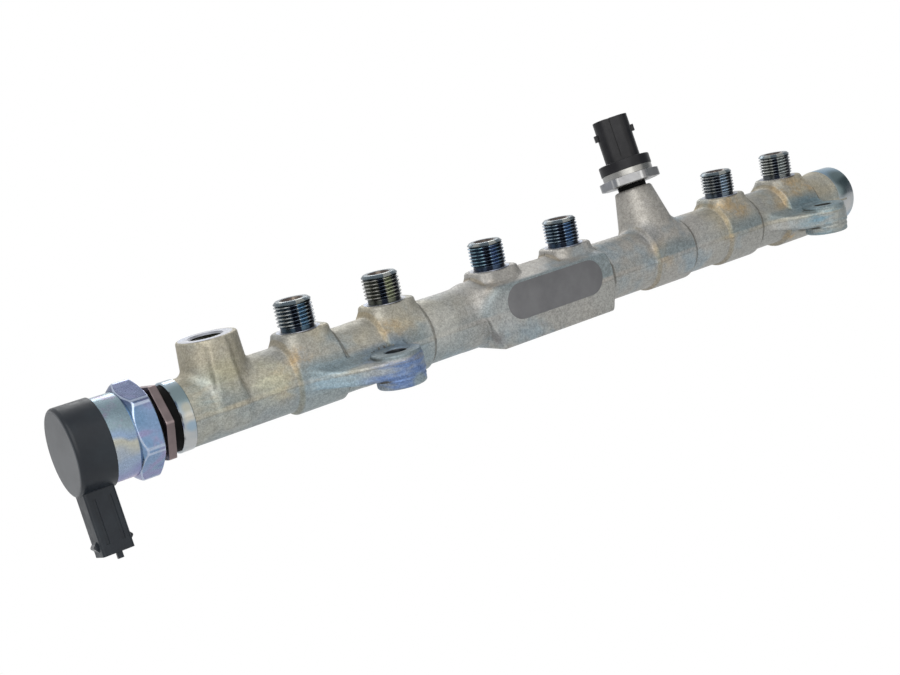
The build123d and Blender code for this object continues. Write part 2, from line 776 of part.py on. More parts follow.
def sensor_board():
    """Circuit board round the cell."""
    bottom = hex_top + board_from_hex
    board = post(bottom, bottom + board_thickness, board_radius)
    return on_sensor_axis(board - post(bottom - 1, bottom + board_thickness + 1, board_window_radius))


def sensor_sleeve():
    """Steel sleeve between the hexagon and the moulded connector."""
    sleeve = post(hex_top, flange_bottom, sleeve_radius)
    return on_sensor_axis(sleeve - post(hex_top - 1, flange_bottom + 1, sleeve_radius - sleeve_wall))


def sensor_terminals():
    """The three blades of the sensor's connector."""
    blades = []
    for place in (-1, 0, 1):
        bottom = flange_bottom + 1.6
        top = barrel_top - barrel_socket_depth + sensor_terminal_showing
        blade = Box(sensor_terminal_width, sensor_terminal_thickness, top - bottom,
                    align=(Align.CENTER, Align.CENTER, Align.MIN))
        blade = chamfer(blade.faces().sort_by(Axis.Z)[-1].edges(), sensor_terminal_thickness / 4)
        blades.append(on_sensor_axis(Pos(place * sensor_terminal_pitch, 0, bottom) * blade, barrel_turn))
    return blades


def sensor_connector():
    """Moulded connector: flange, oval barrel with its socket, two locking tabs and a groove."""
    flange = post(flange_bottom, flange_top, flange_radius)
    flange = fillet(flange.faces().sort_by(Axis.Z)[-1].edges(), flange_edge)
    barrel = rounded_bar(barrel_width, barrel_depth, barrel_depth / 2 - 0.5, flange_bottom, barrel_top)
    groove = Box(barrel_groove_width, 2 * barrel_groove_depth, barrel_height - 2)
    groove_z = (flange_top + barrel_top) / 2 + 1
    barrel -= Pos(barrel_groove_x, -barrel_depth / 2, groove_z) * groove
    tab = Box(2 * barrel_tab_reach + barrel_width, barrel_tab_width, barrel_tab_height)
    barrel += Pos(0, 0, barrel_top - barrel_tab_from_top) * tab
    socket = rounded_bar(
        barrel_width - 2 * barrel_wall, barrel_depth - 2 * barrel_wall, barrel_depth / 2 - barrel_wall - 0.5,
        barrel_top - barrel_socket_depth, barrel_top + 1)
    hollow = post(flange_bottom - 1, flange_bottom + 1.6, sleeve_radius - sleeve_wall)
    housing = on_sensor_axis(flange + barrel - socket - hollow, barrel_turn)
    for blade in sensor_terminals():
        housing -= blade
    return housing


def write(name, shape):
    """Moves a piece from the rail's axis to the part frame and writes it."""
    placed = Pos(0, axis_y, axis_z) * shape
    export_step(placed, os.path.join("parts", name + ".step"))


os.makedirs("parts", exist_ok=True)
write("rail_body", rail_body())
write("valve_body", valve_body())
write("lock_nut", lock_nut())
write("valve_seal_inner", soft_ring(nut_right, rail_left))
write("valve_seal_outer", soft_ring(hex_right, nut_left))
write("shank_o_ring", shank_o_ring())
write("nose_seal", nose_seal())
write("valve_seat", valve_seat())
write("valve_ball", valve_ball())
write("valve_pin", valve_pin())
write("armature", armature())
write("valve_spring", valve_spring())
write("end_cover", end_cover())
write("coil_bobbin", coil_bobbin())
write("coil_winding", coil_winding())
write("valve_cap", valve_cap())
for number, blade in enumerate(valve_terminals(), 1):
    write(f"valve_terminal_{number}", blade)
write("sensor_body", sensor_body())
write("sensor_seal", sensor_seal())
write("sensor_cell", sensor_cell())
write("sensor_board", sensor_board())
write("sensor_sleeve", sensor_sleeve())
write("sensor_connector", sensor_connector())
for number, blade in enumerate(sensor_terminals(), 1):
    write(f"sensor_terminal_{number}", blade)
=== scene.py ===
import bpy
import numpy as np
from mathutils import Matrix, Vector


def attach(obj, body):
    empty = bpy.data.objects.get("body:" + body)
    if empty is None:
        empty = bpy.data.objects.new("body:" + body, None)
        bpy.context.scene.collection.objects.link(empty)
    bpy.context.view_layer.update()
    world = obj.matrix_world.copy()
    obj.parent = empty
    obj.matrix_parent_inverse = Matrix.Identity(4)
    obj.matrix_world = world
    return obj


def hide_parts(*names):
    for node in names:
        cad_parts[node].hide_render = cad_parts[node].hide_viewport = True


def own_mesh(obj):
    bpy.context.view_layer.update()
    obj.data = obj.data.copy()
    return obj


# Looks of the fuel rail. The forging is drawn here once more as a distance field, so that its hollow rounds are as
# soft as a forging's. It has the sizes of the part's source, apart from the block, the right steps of the rings and
# the top of the return boss, which lie where the photograph shows them.
#
# Lengths are in millimetres in the rail's own frame: x runs along the rail's axis to the right, y to the back and
# z up. mesh_object turns them into metres in the part's frame.

AXIS = np.array([0.0, 25.4, 12.0])  # the rail's axis in the part's frame
STEP = 0.68  # grid of the forging's mesh
SPLIT_X = -40.0  # where its mesh is divided in two pieces
TUBE = 13.9
END_LEFT, END_RIGHT = -219.4, 166.0  # of the forging, inside the turned collar and band

# Sensor boss
SENSOR_X, LEAN = 37.0, np.radians(12.5)
SENSOR_TOP, SENSOR_RADIUS, SENSOR_DRAFT = 33.9, 9.1, np.radians(12.6)

# Outlets, with the threads of their stubs
OUTLETS = [-161.5, -118.8, -62.0, -18.1, 87.3, 131.4]
PAD_TOP = 18.25
STUB_CREST, STUB_ROOT, PITCH, STUB_AROUND = 8.0, 7.0, 1.5, 112

# Thick rings of the tube: place, radius, how far each reaches to the left and to the right
RINGS = [(at, radius, 11.3, 10.7) for at, radius in zip(OUTLETS, (15.5, 15.5, 15.4, 15.4, 15.85, 16.6))]
RINGS.append((SENSOR_X, 15.7, 11.7, 12.9))

# Return boss: its column and rib, and the tapped port in it
RETURN_X, RETURN_TOP, RIB_X = -201.0, 26.6, -202.0
PORT_X, PORT_AROUND = -201.4, 96

# Block with the flat front
BLOCK_RADIUS, BLOCK_FRONT, BLOCK_TOP, BLOCK_LOW = 15.4, 16.4, 11.4, -15.9
BLOCK_RIGHT, BLOCK_SLANT = -5.0, 0.29

# Lugs: place of the bolt hole, and how far the arm reaches to either side of it at its root
LUGS = [(-133.7, -46.0, 11.0), (133.7, -37.0, 10.6)]
LUG_Y, ARM_ROOT_Y, ARM_FRONT_Y = -25.4, -8.0, -36.15
LUG_TOP, LUG_LOW, BOLT_HOLE = 2.3, -12.0, 4.95

# CAD nodes that pieces of this script stand for
REDRAWN = ("rail_body", "valve_body", "lock_nut", "sensor_body")

# Glint on the stubs' threads: brightness against the angle around the stub in degrees
GLINT_TURN = [-180, -85, -60, -35, -14, -6, 3, 9, 15, 36, 46, 62, 85, 180]
GLINT = [0.40, 0.30, 0.45, 0.52, 0.45, 0.04, 0.04, 0.10, 0.95, 0.90, 0.20, 0.06, 0.30, 0.40]

# Colours of the painted glint on the stubs' threads, from left to right: dim, middle and bright
STUB_GLINT_COLOURS = [((0.16, 0.17, 0.18), (0.40, 0.42, 0.42), (0.25, 0.40, 0.54)),
              ((0.15, 0.15, 0.14), (0.34, 0.34, 0.32), (0.48, 0.51, 0.38)),
              ((0.10, 0.14, 0.20), (0.20, 0.30, 0.34), (0.17, 0.25, 0.41)),
              ((0.12, 0.15, 0.20), (0.24, 0.30, 0.34), (0.18, 0.29, 0.46)),
              ((0.14, 0.15, 0.16), (0.34, 0.35, 0.35), (0.42, 0.52, 0.62)),
              ((0.20, 0.21, 0.22), (0.44, 0.45, 0.43), (0.50, 0.54, 0.54))]

# Colours painted on the forging and on the turned collar and band. WARM and BLUE are tints of the plating; the
# spots on the collar and band are painted reflections; the last table holds spots of colour, two of them painted
# shade. WARM: place, reach, strength. The others: place, reach of the full tint, reach of any tint, strength (not
# for the collar), colour
TURNED_REFLECTIONS = [((-221, -10, 10), 3, 7.5, (0.27, 0.35, 0.37)), ((-221, -13, 4.6), 1, 3, (0.42, 0.43, 0.38)),
          ((-221, -14.2, 1), 1, 3.4, (0.60, 0.58, 0.52)), ((-221, -14, -2.4), 1, 3, (0.33, 0.43, 0.52)),
          ((166, -11, 9), 4, 9, (0.15, 0.20, 0.21)), ((163, -14, 4), 2, 6, (0.17, 0.22, 0.23))]
WARM = [((-179, -13, 2), 11, 0.5), ((-169.5, -12, 8), 8, 0.8), ((-126, -12, 8), 8, 0.7), ((-121, -13, 5), 9, 0.4),
        ((-70, -12, 9), 8, 0.4), ((80, -9, 15), 9, 0.8), ((87, -11, 11), 10, 0.8), ((76, -13, 4), 9, 0.5),
        ((124, -9, 15), 9, 0.8), ((133, -11, 11), 11, 0.9), ((139, -12, 8), 9, 0.8), ((118, -12.5, 5), 9, 0.6),
        ((29, -14, 2), 10, 0.5), ((122, -10, -11), 5, 1.0)]
BLUE = [((-160, -19, 0), 6, 24, 0.75, (0.30, 0.42, 0.50)), ((-133.7, -27, -4), 11, 23, 1.0, (0.15, 0.23, 0.42)),
        ((133, -22, -4), 9, 23, 1.0, (0.15, 0.29, 0.38)), ((165, 0, 0), 6, 22, 0.5, (0.26, 0.36, 0.42)),
        ((-210, -10, 6), 3, 14, 0.5, (0.30, 0.40, 0.42)), ((-184, -12.5, 4), 3, 13, 0.8, (0.58, 0.57, 0.43)),
        ((-202, -14, 12), 2, 12, 0.6, (0.46, 0.43, 0.29))]
PATCHES = [((-102, -12.5, 3), 4, 14, 0.7, (0.52, 0.52, 0.49)), ((-69, -16, 0), 4, 13, 0.7, (0.46, 0.47, 0.46)),
           ((62, -13, 2), 4, 13, 0.5, (0.47, 0.47, 0.45)), ((27, -9, 12), 3, 9, 0.7, (0.26, 0.265, 0.265)),
           ((-131, -35, -11), 2.5, 5, 0.7, (0.31, 0.37, 0.36)),
           ((-75.6, -14.3, -10.3), 1.5, 5.0, 0.6, (0.19, 0.175, 0.175))]


def join(a, b, r):
    """Union with a hollow round of radius r."""
    return np.maximum(r, np.minimum(a, b)) - np.hypot(np.maximum(r - a, 0), np.maximum(r - b, 0))


def cut(a, b, r):
    """Intersection with a rounded edge of radius r."""
    return np.minimum(-r, np.maximum(a, b)) + np.hypot(np.maximum(r + a, 0), np.maximum(r + b, 0))


def soften(a, b, k):
    """The smaller of two radii, with the change between them rounded."""
    return np.minimum(a, b) - np.maximum(k - np.abs(a - b), 0) ** 2 / (4 * k)


def ease(x, low, high):
    """0 up to low, 1 from high on, smooth between them."""
    t = np.clip((x - low) / (high - low), 0, 1)
    return t * t * (3 - 2 * t)


def bell(distance, width):
    """1 at a distance of 0, falling off smoothly to either side."""
    return np.exp(-(distance / width) ** 2)


def tangent(cx, cy, r, px, py, side):
    """Where a line from a point touches a circle."""
    dx, dy = px - cx, py - cy
    a = np.arctan2(dy, dx) + side * np.arccos(r / np.hypot(dx, dy))
    return cx + r * np.cos(a), cy + r * np.sin(a)


def outside(u, v, p, q):
    """Distance to the left of the line that runs from p to q."""
    du, dv = q[0] - p[0], q[1] - p[1]
    return ((v - p[1]) * du - (u - p[0]) * dv) / np.hypot(du, dv)


def pad(x, y, z, at):
    """Pad of an outlet: a rectangle with round corners in plan, wider further down."""
    depth = np.clip(PAD_TOP - z, 0, 20)
    half_x, half_y, corner = 11.1 + depth * 0.10, 8.8 + depth * 0.21, 5.5 + depth * 0.1
    u, v = np.abs(x - at - 0.4) - half_x + corner, np.abs(y) - half_y + corner
    plan = np.hypot(np.maximum(u, 0), np.maximum(v, 0)) + np.minimum(np.maximum(u, v), 0) - corner
    return np.maximum(cut(plan, z - PAD_TOP, 1.3), -z)


def block(x, y, z, rho):
    """Block with a flat front on tangent sides, a slanted left end and a ramp above it."""
    top, low = (-BLOCK_FRONT, BLOCK_TOP), (-BLOCK_FRONT, BLOCK_LOW)
    up = outside(y, z, tangent(0, 0, BLOCK_RADIUS, *top, -1), top)
    down = outside(y, z, low, tangent(0, 0, BLOCK_RADIUS, *low, 1))
    head = np.maximum(cut(cut(-y - BLOCK_FRONT, -up, 1.8), -down, 1.6), y)
    body = np.minimum(rho - BLOCK_RADIUS, head)
    left = (-79.1 - 0.378 * z - 0.12 * (y + BLOCK_FRONT) - x) / 1.076
    ramp = (-77.5 - 2.4 * (BLOCK_FRONT - rho) - x) / 2.6
    left = left + (ramp - left) * ease(z, -2.5, 3.0)
    right = (x - BLOCK_RIGHT + BLOCK_SLANT * np.maximum(np.abs(z) - 4, 0)) / 1.04
    return cut(cut(body, left, 0.9), right, 0.6)


def return_boss(x, y, z):
    """Oval column that tapers upwards, with a rib down its front."""
    t = np.clip((z - 2.0) / 24.6, 0, 1)
    a, b = 14.2 - 1.9 * t, 12.3 - 0.6 * t
    column = (np.hypot((x - RETURN_X) / a, y / b) - 1) * np.minimum(a, b)
    column = np.maximum(cut(column, z - RETURN_TOP, 0.8), -z)
    column = np.where(z < 0, np.maximum(column, 2.0), column)
    s = np.clip((z - 0.5) / 23.0, 0, 1)
    side = np.abs(x - RIB_X) - (5.9 - 1.6 * s)
    front = -y - 14.5 + np.maximum(z - 3.0, 0) * 0.12 + np.maximum(-z, 0) * 0.1
    rib = cut(cut(side, front, 1.5), np.maximum(z - 25.2, -9.0 - z), 1.4)
    rib = np.maximum(rib, y)
    return join(column, rib, 1.5)


def sensor_boss(x, y, z):
    """Leaning cone between two cheeks."""
    up = y * np.sin(LEAN) + z * np.cos(LEAN)
    back = y * np.cos(LEAN) - z * np.sin(LEAN)
    cone = np.hypot(x - SENSOR_X, back) - SENSOR_RADIUS - (SENSOR_TOP - up) * np.tan(SENSOR_DRAFT)
    cone = cone * np.cos(SENSOR_DRAFT)
    cheeks = 0.98 * np.abs(back) + 0.2 * up - 15.75
    return np.maximum(cut(cut(cone, cheeks, 3.0), up - SENSOR_TOP, 1.1), -up)


def lug(x, y, z, at, left, right):
    """Bolt lug with the arm that carries it."""
    a, b, r = (at + left, ARM_ROOT_Y), (at + right, ARM_ROOT_Y), 10.75
    ta, tb = tangent(at, LUG_Y, r, *a, 1), tangent(at, LUG_Y, r, *b, -1)
    web = np.maximum(np.maximum(-outside(x, y, a, ta), -outside(x, y, ta, tb)), -outside(x, y, tb, b))
    web = np.minimum(np.hypot(x - at, y - LUG_Y) - r, np.maximum(web, y - ARM_ROOT_Y))
    top = np.interp(-y, [8.0, 13.4, 15.5, 18.0, 21.0, 25.4], [5.6, 4.9, 3.2, 1.8, 0.6, 0.2])
    low = np.interp(-y, [8.0, 13.9, 25.4, 40.0], [-4.2, -4.8, -7.4, -7.4])
    eye = np.hypot(x - at, y - LUG_Y) - 10.4
    slab = cut(cut(web, z - top, 1.3), low - z, 1.2)
    eye = eye - 0.3 * (bell(z + 6.3, 0.5) + bell(z + 8.6, 0.5)) * (y < LUG_Y)
    disc = cut(cut(eye, z - LUG_TOP, 0.8), LUG_LOW - z, 0.9)
    return np.maximum(join(slab, disc, 0.9), ARM_FRONT_Y - y)


def field(x, y, z):
    """Distance to the forging's skin, all points having nearly the same x.

    Each form is worked out only for points within its reach along the rail."""
    rho = np.hypot(y, z)
    lo, hi = float(x.min()), float(x.max())
    radius = (TUBE + 0.2 * ease(x, -141, -137) + 0.15 * ease(x, -89, -85) + 0.15 * ease(x, 54, 58)
              + 0.65 * ease(x, 155, 160))
    for at, thick, left, right in RINGS:
        if at - 20 < hi and at + 20 > lo:
            rise = ease(x, at - left - 1.3, at - left + 1.3) * (1 - ease(x, at + right - 0.1, at + right + 0.5))
            radius = radius + np.maximum(thick - radius, 0) * rise
    parting_line = 0.2 * bell(z + 1.4, 0.5) * (y < 0)
    d = rho - radius - parting_line
    for at in OUTLETS:
        if at - 22 < hi and at + 22 > lo:
            near = np.maximum(join(d, pad(x, y, z, at), 2.5), z - PAD_TOP)
            d = np.where(np.abs(x - at) < 20, near, d)
    if -90 < hi and 5 > lo:
        d = join(d, block(x, y, z, rho), 0.7)
        d = np.where((x > -88) & (x < 4), np.maximum(d, -BLOCK_FRONT - y), d)
    if -232 < hi and -170 > lo:
        d = join(d, return_boss(x, y, z), 2.4)
    if 8 < hi and 66 > lo:
        d = join(d, sensor_boss(x, y, z), 2.8)
    for at, left, right in LUGS:
        if at + left - 12 < hi and at + right + 18 > lo:
            from_bolt = np.hypot(x - at, y - LUG_Y)
            body = lug(x, y, z, at, left, right)
            body = np.where(from_bolt < 10.5, np.maximum(body, z - LUG_TOP), body)
            d = join(d, body, 1.1)
            d = np.maximum(d, BOLT_HOLE - from_bolt)
    if -220 < hi and -190 > lo:
        hole = np.maximum(np.hypot(x - PORT_X, y) - 7.4, 14.0 - z)
        d = np.maximum(d, -hole)
    return np.maximum(d, np.maximum(END_LEFT - x, x - END_RIGHT))


def at_points(p):
    """Field at scattered points, by short lengths of the rail."""
    out = np.empty(len(p))
    order = np.floor(p[:, 0] / 8.0).astype(int)
    for n in np.unique(order):
        pick = order == n
        out[pick] = field(p[pick, 0], p[pick, 1], p[pick, 2])
    return out


def slope_at(p, h=0.02):
    """Gradient of the field at scattered points."""
    g = np.empty_like(p)
    for k in range(3):
        d = np.zeros(3)
        d[k] = h
        g[:, k] = (at_points(p + d) - at_points(p - d)) / (2 * h)
    return g


def nets(low, high, step):
    """Surface nets of the field: vertices and quads."""
    axes = [np.arange(a, b + step, step) for a, b in zip(low, high)]
    shape = [len(a) for a in axes]
    values = np.empty(shape, np.float32)
    slab = 12
    for i in range(0, shape[0], slab):
        x, y, z = np.meshgrid(axes[0][i:i + slab], axes[1], axes[2], indexing="ij")
        values[i:i + slab] = field(x, y, z)
    inside = values < 0
    cell = np.zeros([n - 1 for n in shape], bool)
    total = np.zeros(cell.shape + (3,), np.float32)
    count = np.zeros(cell.shape, np.float32)
    quads = []
    edges = []
    for k in range(3):
        a = [slice(None)] * 3
        b = [slice(None)] * 3
        a[k], b[k] = slice(0, -1), slice(1, None)
        edges.append(np.argwhere(inside[tuple(a)] != inside[tuple(b)]))
    for k, e in enumerate(edges):
        f = e.copy()
        f[:, k] += 1
        va, vb = values[tuple(e.T)], values[tuple(f.T)]
        t = va / (va - vb)
        point = e.astype(np.float32)
        point[:, k] += t
        u, v = [n for n in range(3) if n != k]
        for du in (-1, 0):
            for dv in (-1, 0):
                c = e.copy()
                c[:, u] += du
                c[:, v] += dv
                np.add.at(total, tuple(c.T), point)
                np.add.at(count, tuple(c.T), 1)
    cells = np.argwhere(count > 0)
    index = np.full(cell.shape, -1, np.int64)
    index[tuple(cells.T)] = np.arange(len(cells))
    mean = total[tuple(cells.T)] / count[tuple(cells.T)][:, None]
    verts = mean * step + np.array([a[0] for a in axes])
    for k, e in enumerate(edges):
        u, v = (k + 1) % 3, (k + 2) % 3
        corners = []
        for du, dv in ((0, 0), (-1, 0), (-1, -1), (0, -1)):
            c = e.copy()
            c[:, u] += du
            c[:, v] += dv
            corners.append(index[tuple(c.T)])
        quad = np.stack(corners, 1)
        flip = ~inside[tuple(e.T)]
        quad[flip] = quad[flip][:, ::-1]
        quads.append(quad)
    return verts.astype(np.float64), np.concatenate(quads)


def forging(step):
    """Mesh of the forging drawn onto the field's skin, with its normals and what is painted on it by place.

    hollow is how deep a point lies in a corner, for painted shade there, and holds the painted shade lines by the
    rings' right steps and the block's right end; edge is how sharp a point stands out, for a painted highlight on
    ridges; rise marks the rings' left steps, for a warm tint with painted shade."""
    verts, quads = nets((-221, -39, -18), (168, 20, 36), step)
    for _ in range(3):
        d = at_points(verts)
        g = slope_at(verts)
        n2 = np.maximum((g ** 2).sum(1), 0.25)
        move = -(d / n2)[:, None] * g
        size = np.linalg.norm(move, axis=1, keepdims=True)
        verts = verts + move * np.minimum(1, 0.5 * step / np.maximum(size, 1e-9))
    g = slope_at(verts, 0.05)
    n = g / np.maximum(np.linalg.norm(g, axis=1, keepdims=True), 1e-9)
    # hollow feeds painted shade in corners, edge a painted highlight on ridges
    hollow = sum(np.clip(1 - at_points(verts + n * h) / h, 0, 1) * w for h, w in ((0.9, 0.6), (3.0, 0.4)))
    edge = np.clip(1 + at_points(verts - n * 1.2) / 1.2, 0, 1)
    x, y, z = verts.T
    rho = np.hypot(y, z)
    on_tube = np.clip((16.2 - rho) / 0.6, 0, 1)
    # Painted shade on the tube: a dark line beside each ring's right step outside the block, set off further to the
    # right the further along the rail the ring lies, and one beside the block's right end.
    for at, _, _, right in RINGS:
        step_x = at + right
        if not -75 < step_x < -5:
            away = step_x + 0.5 + 1.5 * (step_x + 396) / 472
            hollow = np.maximum(hollow, 0.30 * (bell(x - away, 0.7) * on_tube))
    corner = BLOCK_RIGHT - BLOCK_SLANT * np.maximum(np.abs(z) - 4, 0) + 2.2
    hollow = np.maximum(hollow, 0.30 * (bell(x - corner, 0.75) * (y < 2) * on_tube))
    rise = sum(bell(x - at + 11.4, 1.1) for at, *_ in RINGS)
    rise = rise * np.clip((17.0 - rho) / 0.8, 0, 1)
    return verts, quads, n, hollow, edge, rise


def mesh_object(name, verts, faces, normals=None, angle=None):
    """New object from rail-frame millimetres, moved to the part frame in metres."""
    mesh = bpy.data.meshes.new(name)
    v = (np.asarray(verts, float) + AXIS) / 1000
    mesh.from_pydata(v.tolist(), [], [tuple(int(i) for i in f) for f in faces])
    mesh.update()
    mesh.shade_smooth()
    if normals is not None:
        mesh.normals_split_custom_set_from_vertices(np.asarray(normals).tolist())
    elif angle is not None:
        mesh.set_sharp_from_angle(angle=np.radians(angle))
    obj = bpy.data.objects.new(name, mesh)
    bpy.context.scene.collection.objects.link(obj)
    return obj


def note(obj, name, values):
    """Number for each vertex that the materials can read."""
    layer = obj.data.attributes.new(name, "FLOAT", "POINT")
    layer.data.foreach_set("value", np.asarray(values, np.float32))


def grid_faces(rows, around):
    """Quads of a closed tube of points, row by row."""
    i, j = np.meshgrid(np.arange(rows - 1), np.arange(around), indexing="ij")
    a, b = i * around + j, i * around + (j + 1) % around
    return np.stack([a, b, b + around, a + around], -1).reshape(-1, 4)


def angles(around):
    """Equal steps once round."""
    return np.linspace(0, 2 * np.pi, around, endpoint=False)


def lathe(name, profile, along, centre, around=96, angle=30, place=None):
    """Turned piece from (place, radius) points; along is 0 for the rail's axis and 2 for upright."""
    t = angles(around)
    verts = []
    for spot, radius in profile:
        u, v = radius * np.cos(t), radius * np.sin(t)
        w = np.full(around, spot)
        verts.append(np.stack([w, u, v] if along == 0 else [u, v, w], 1))
    verts = np.concatenate(verts) + np.array(centre)
    if place is not None:
        verts = place(verts[:, 0], verts[:, 1], verts[:, 2])
    return mesh_object(name, verts, grid_faces(len(profile), around), angle=angle)


def screw_rows(low, high, crest, root, rows_a_turn=14, around=STUB_AROUND):
    """Rows of radii of a thread between two heights, faded out at either end."""
    z = np.arange(low, high, PITCH / rows_a_turn)
    t = np.arange(around) / around
    u = (z[:, None] / PITCH - t[None, :]) % 1
    tooth = np.clip((0.86 - np.abs(u - 0.5) * 2) / 0.72, 0, 1)
    fade = np.clip((z - low) / 0.5, 0, 1) * np.clip((high - z) / 0.4, 0, 1)
    return z, root + (crest - root) * tooth * fade[:, None]


def threaded(name, x, around, first, heights, radii, last):
    """Upright tube: a thread's rows of radii between plain rows given as (height, radius)."""
    rows = [(z, np.full(around, r)) for z, r in first]
    rows += list(zip(heights, radii))
    rows += [(z, np.full(around, r)) for z, r in last]
    t = angles(around)
    verts = [np.stack([r * np.cos(t), r * np.sin(t), np.full(around, z)], 1) for z, r in rows]
    verts = np.concatenate(verts) + np.array([x, 0, 0])
    return mesh_object(name, verts, grid_faces(len(rows), around), angle=32)


def stub(name, at):
    """Threaded outlet stub with its undercut, chamfered tip, sealing cone and drilling."""
    heights, radii = screw_rows(19.7, 29.3, STUB_CREST, STUB_ROOT)
    undercut = [(18.0, 7.05), (19.3, 7.05), (19.6, 7.0)]
    tip = [(29.35, 7.05), (29.5, 7.75), (29.75, 7.9), (30.75, 6.9), (30.8, 6.8), (30.8, 5.0)]
    cone = [(30.7, 4.85), (25.4, 1.8), (25.3, 1.75), (16.0, 1.75)]
    obj = threaded(name, at, STUB_AROUND, undercut, heights, radii, tip + cone)
    rows = len(undercut) + len(heights) + len(tip) + len(cone)
    crest = np.zeros((rows, STUB_AROUND))
    crest[len(undercut):len(undercut) + len(heights)] = np.clip(radii - STUB_ROOT, 0, 1)
    note(obj, "crest", crest.ravel())
    inside = np.zeros((rows, STUB_AROUND))
    inside[-len(cone):] = 1
    note(obj, "cone", inside.ravel())
    # Painted glint round the stub, its angles counted from the side that faces the camera.
    turn = (np.degrees(angles(STUB_AROUND)) + 296.4 + 0.0744 * (at - OUTLETS[0])) % 360 - 180
    note(obj, "painted_glint", np.tile(np.interp(turn, GLINT_TURN, GLINT), rows))
    return obj


def return_thread():
    """Tapped hole of the return boss, as an outer thread turned inside out about its mean radius."""
    crest, root, twice_mean = 7.0, 6.2, 13.2
    heights, radii = screw_rows(15.8, 25.5, crest, root, 12, PORT_AROUND)
    mouth, foot = [(25.8, 6.6)], [(15.7, root), (15.6, root), (13.6, 2.5), (4.0, 2.5)]
    return threaded("return_port_thread", PORT_X, PORT_AROUND, mouth, heights[::-1], twice_mean - radii[::-1], foot)


def hexagon(name, start, length, flats, corner, turn, left, right, inner, place=None, around=288):
    """Hexagonal bar with its corners turned off, chamfered at both ends, all edges slightly rounded."""
    flat = flats / 2
    t = angles(around)
    side = flat / np.cos(np.radians((np.degrees(t) - turn) % 60 - 30))
    s = np.unique(np.concatenate([np.linspace(0, 3.2, 15), np.linspace(3.2, length - 1.2, 9),
                                  np.linspace(length - 1.2, length, 9)]).clip(0, length))
    rows = [(np.zeros(around), np.full(around, inner[0]))]
    edge = [np.zeros(around)]
    for q in s:
        near = np.minimum(q, length - q)
        r = soften(side, corner, 0.6)
        r = soften(r, flat + q / np.tan(np.radians(left)), 0.7)
        r = soften(r, flat + (length - q) / np.tan(np.radians(right)), 0.7)
        sharp = np.minimum(np.minimum(side, corner), flat + np.minimum(q / np.tan(np.radians(left)),
                                                                      (length - q) / np.tan(np.radians(right))))
        edge.append(np.clip((sharp - r) / 0.12, 0, 1))
        rows.append((np.full(around, q), r - 0.35 * np.clip(1 - near / 0.35, 0, 1) ** 2))
    rows.append((np.full(around, length), np.full(around, inner[1])))
    edge.append(np.zeros(around))
    verts = np.concatenate([np.stack([start + q, r * np.cos(t), r * np.sin(t)], 1) for q, r in rows])
    if place is not None:
        verts = place(verts[:, 0], verts[:, 1], verts[:, 2])
    obj = mesh_object(name, verts, grid_faces(len(rows), around), angle=34)
    # edge marks the rounded edges for a painted highlight.
    note(obj, "edge", np.concatenate(edge))
    return obj


def on_sensor_axis(s, v, w):
    """From lengths up the sensor's axis and two across it to the rail's frame."""
    return np.stack([SENSOR_X - w, v * np.cos(LEAN) + s * np.sin(LEAN), s * np.cos(LEAN) - v * np.sin(LEAN)], 1)


def stadium(name, x0, x1, z0, z1, y, thick):
    """Thin plate with round ends, lying on the block's flat face."""
    r = (z1 - z0) / 2
    t = np.linspace(-np.pi / 2, np.pi / 2, 33)
    right = np.stack([x1 - r + r * np.cos(t), (z0 + z1) / 2 + r * np.sin(t)], 1)
    left = np.stack([x0 + r - r * np.cos(t), (z0 + z1) / 2 - r * np.sin(t)], 1)
    rim = np.concatenate([right, left])
    n = len(rim)
    mid = rim.mean(0)
    soft = mid + (rim - mid) * (1 - 0.12 / np.linalg.norm(rim - mid, axis=1, keepdims=True))
    verts = [np.stack([s[:, 0], np.full(n, q), s[:, 1]], 1)
             for s, q in ((rim, y + 0.1), (rim, y - thick + 0.04), (soft, y - thick))]
    faces = grid_faces(3, n).tolist() + [list(range(2 * n, 3 * n))]
    return mesh_object(name, np.concatenate(verts), faces, angle=40)


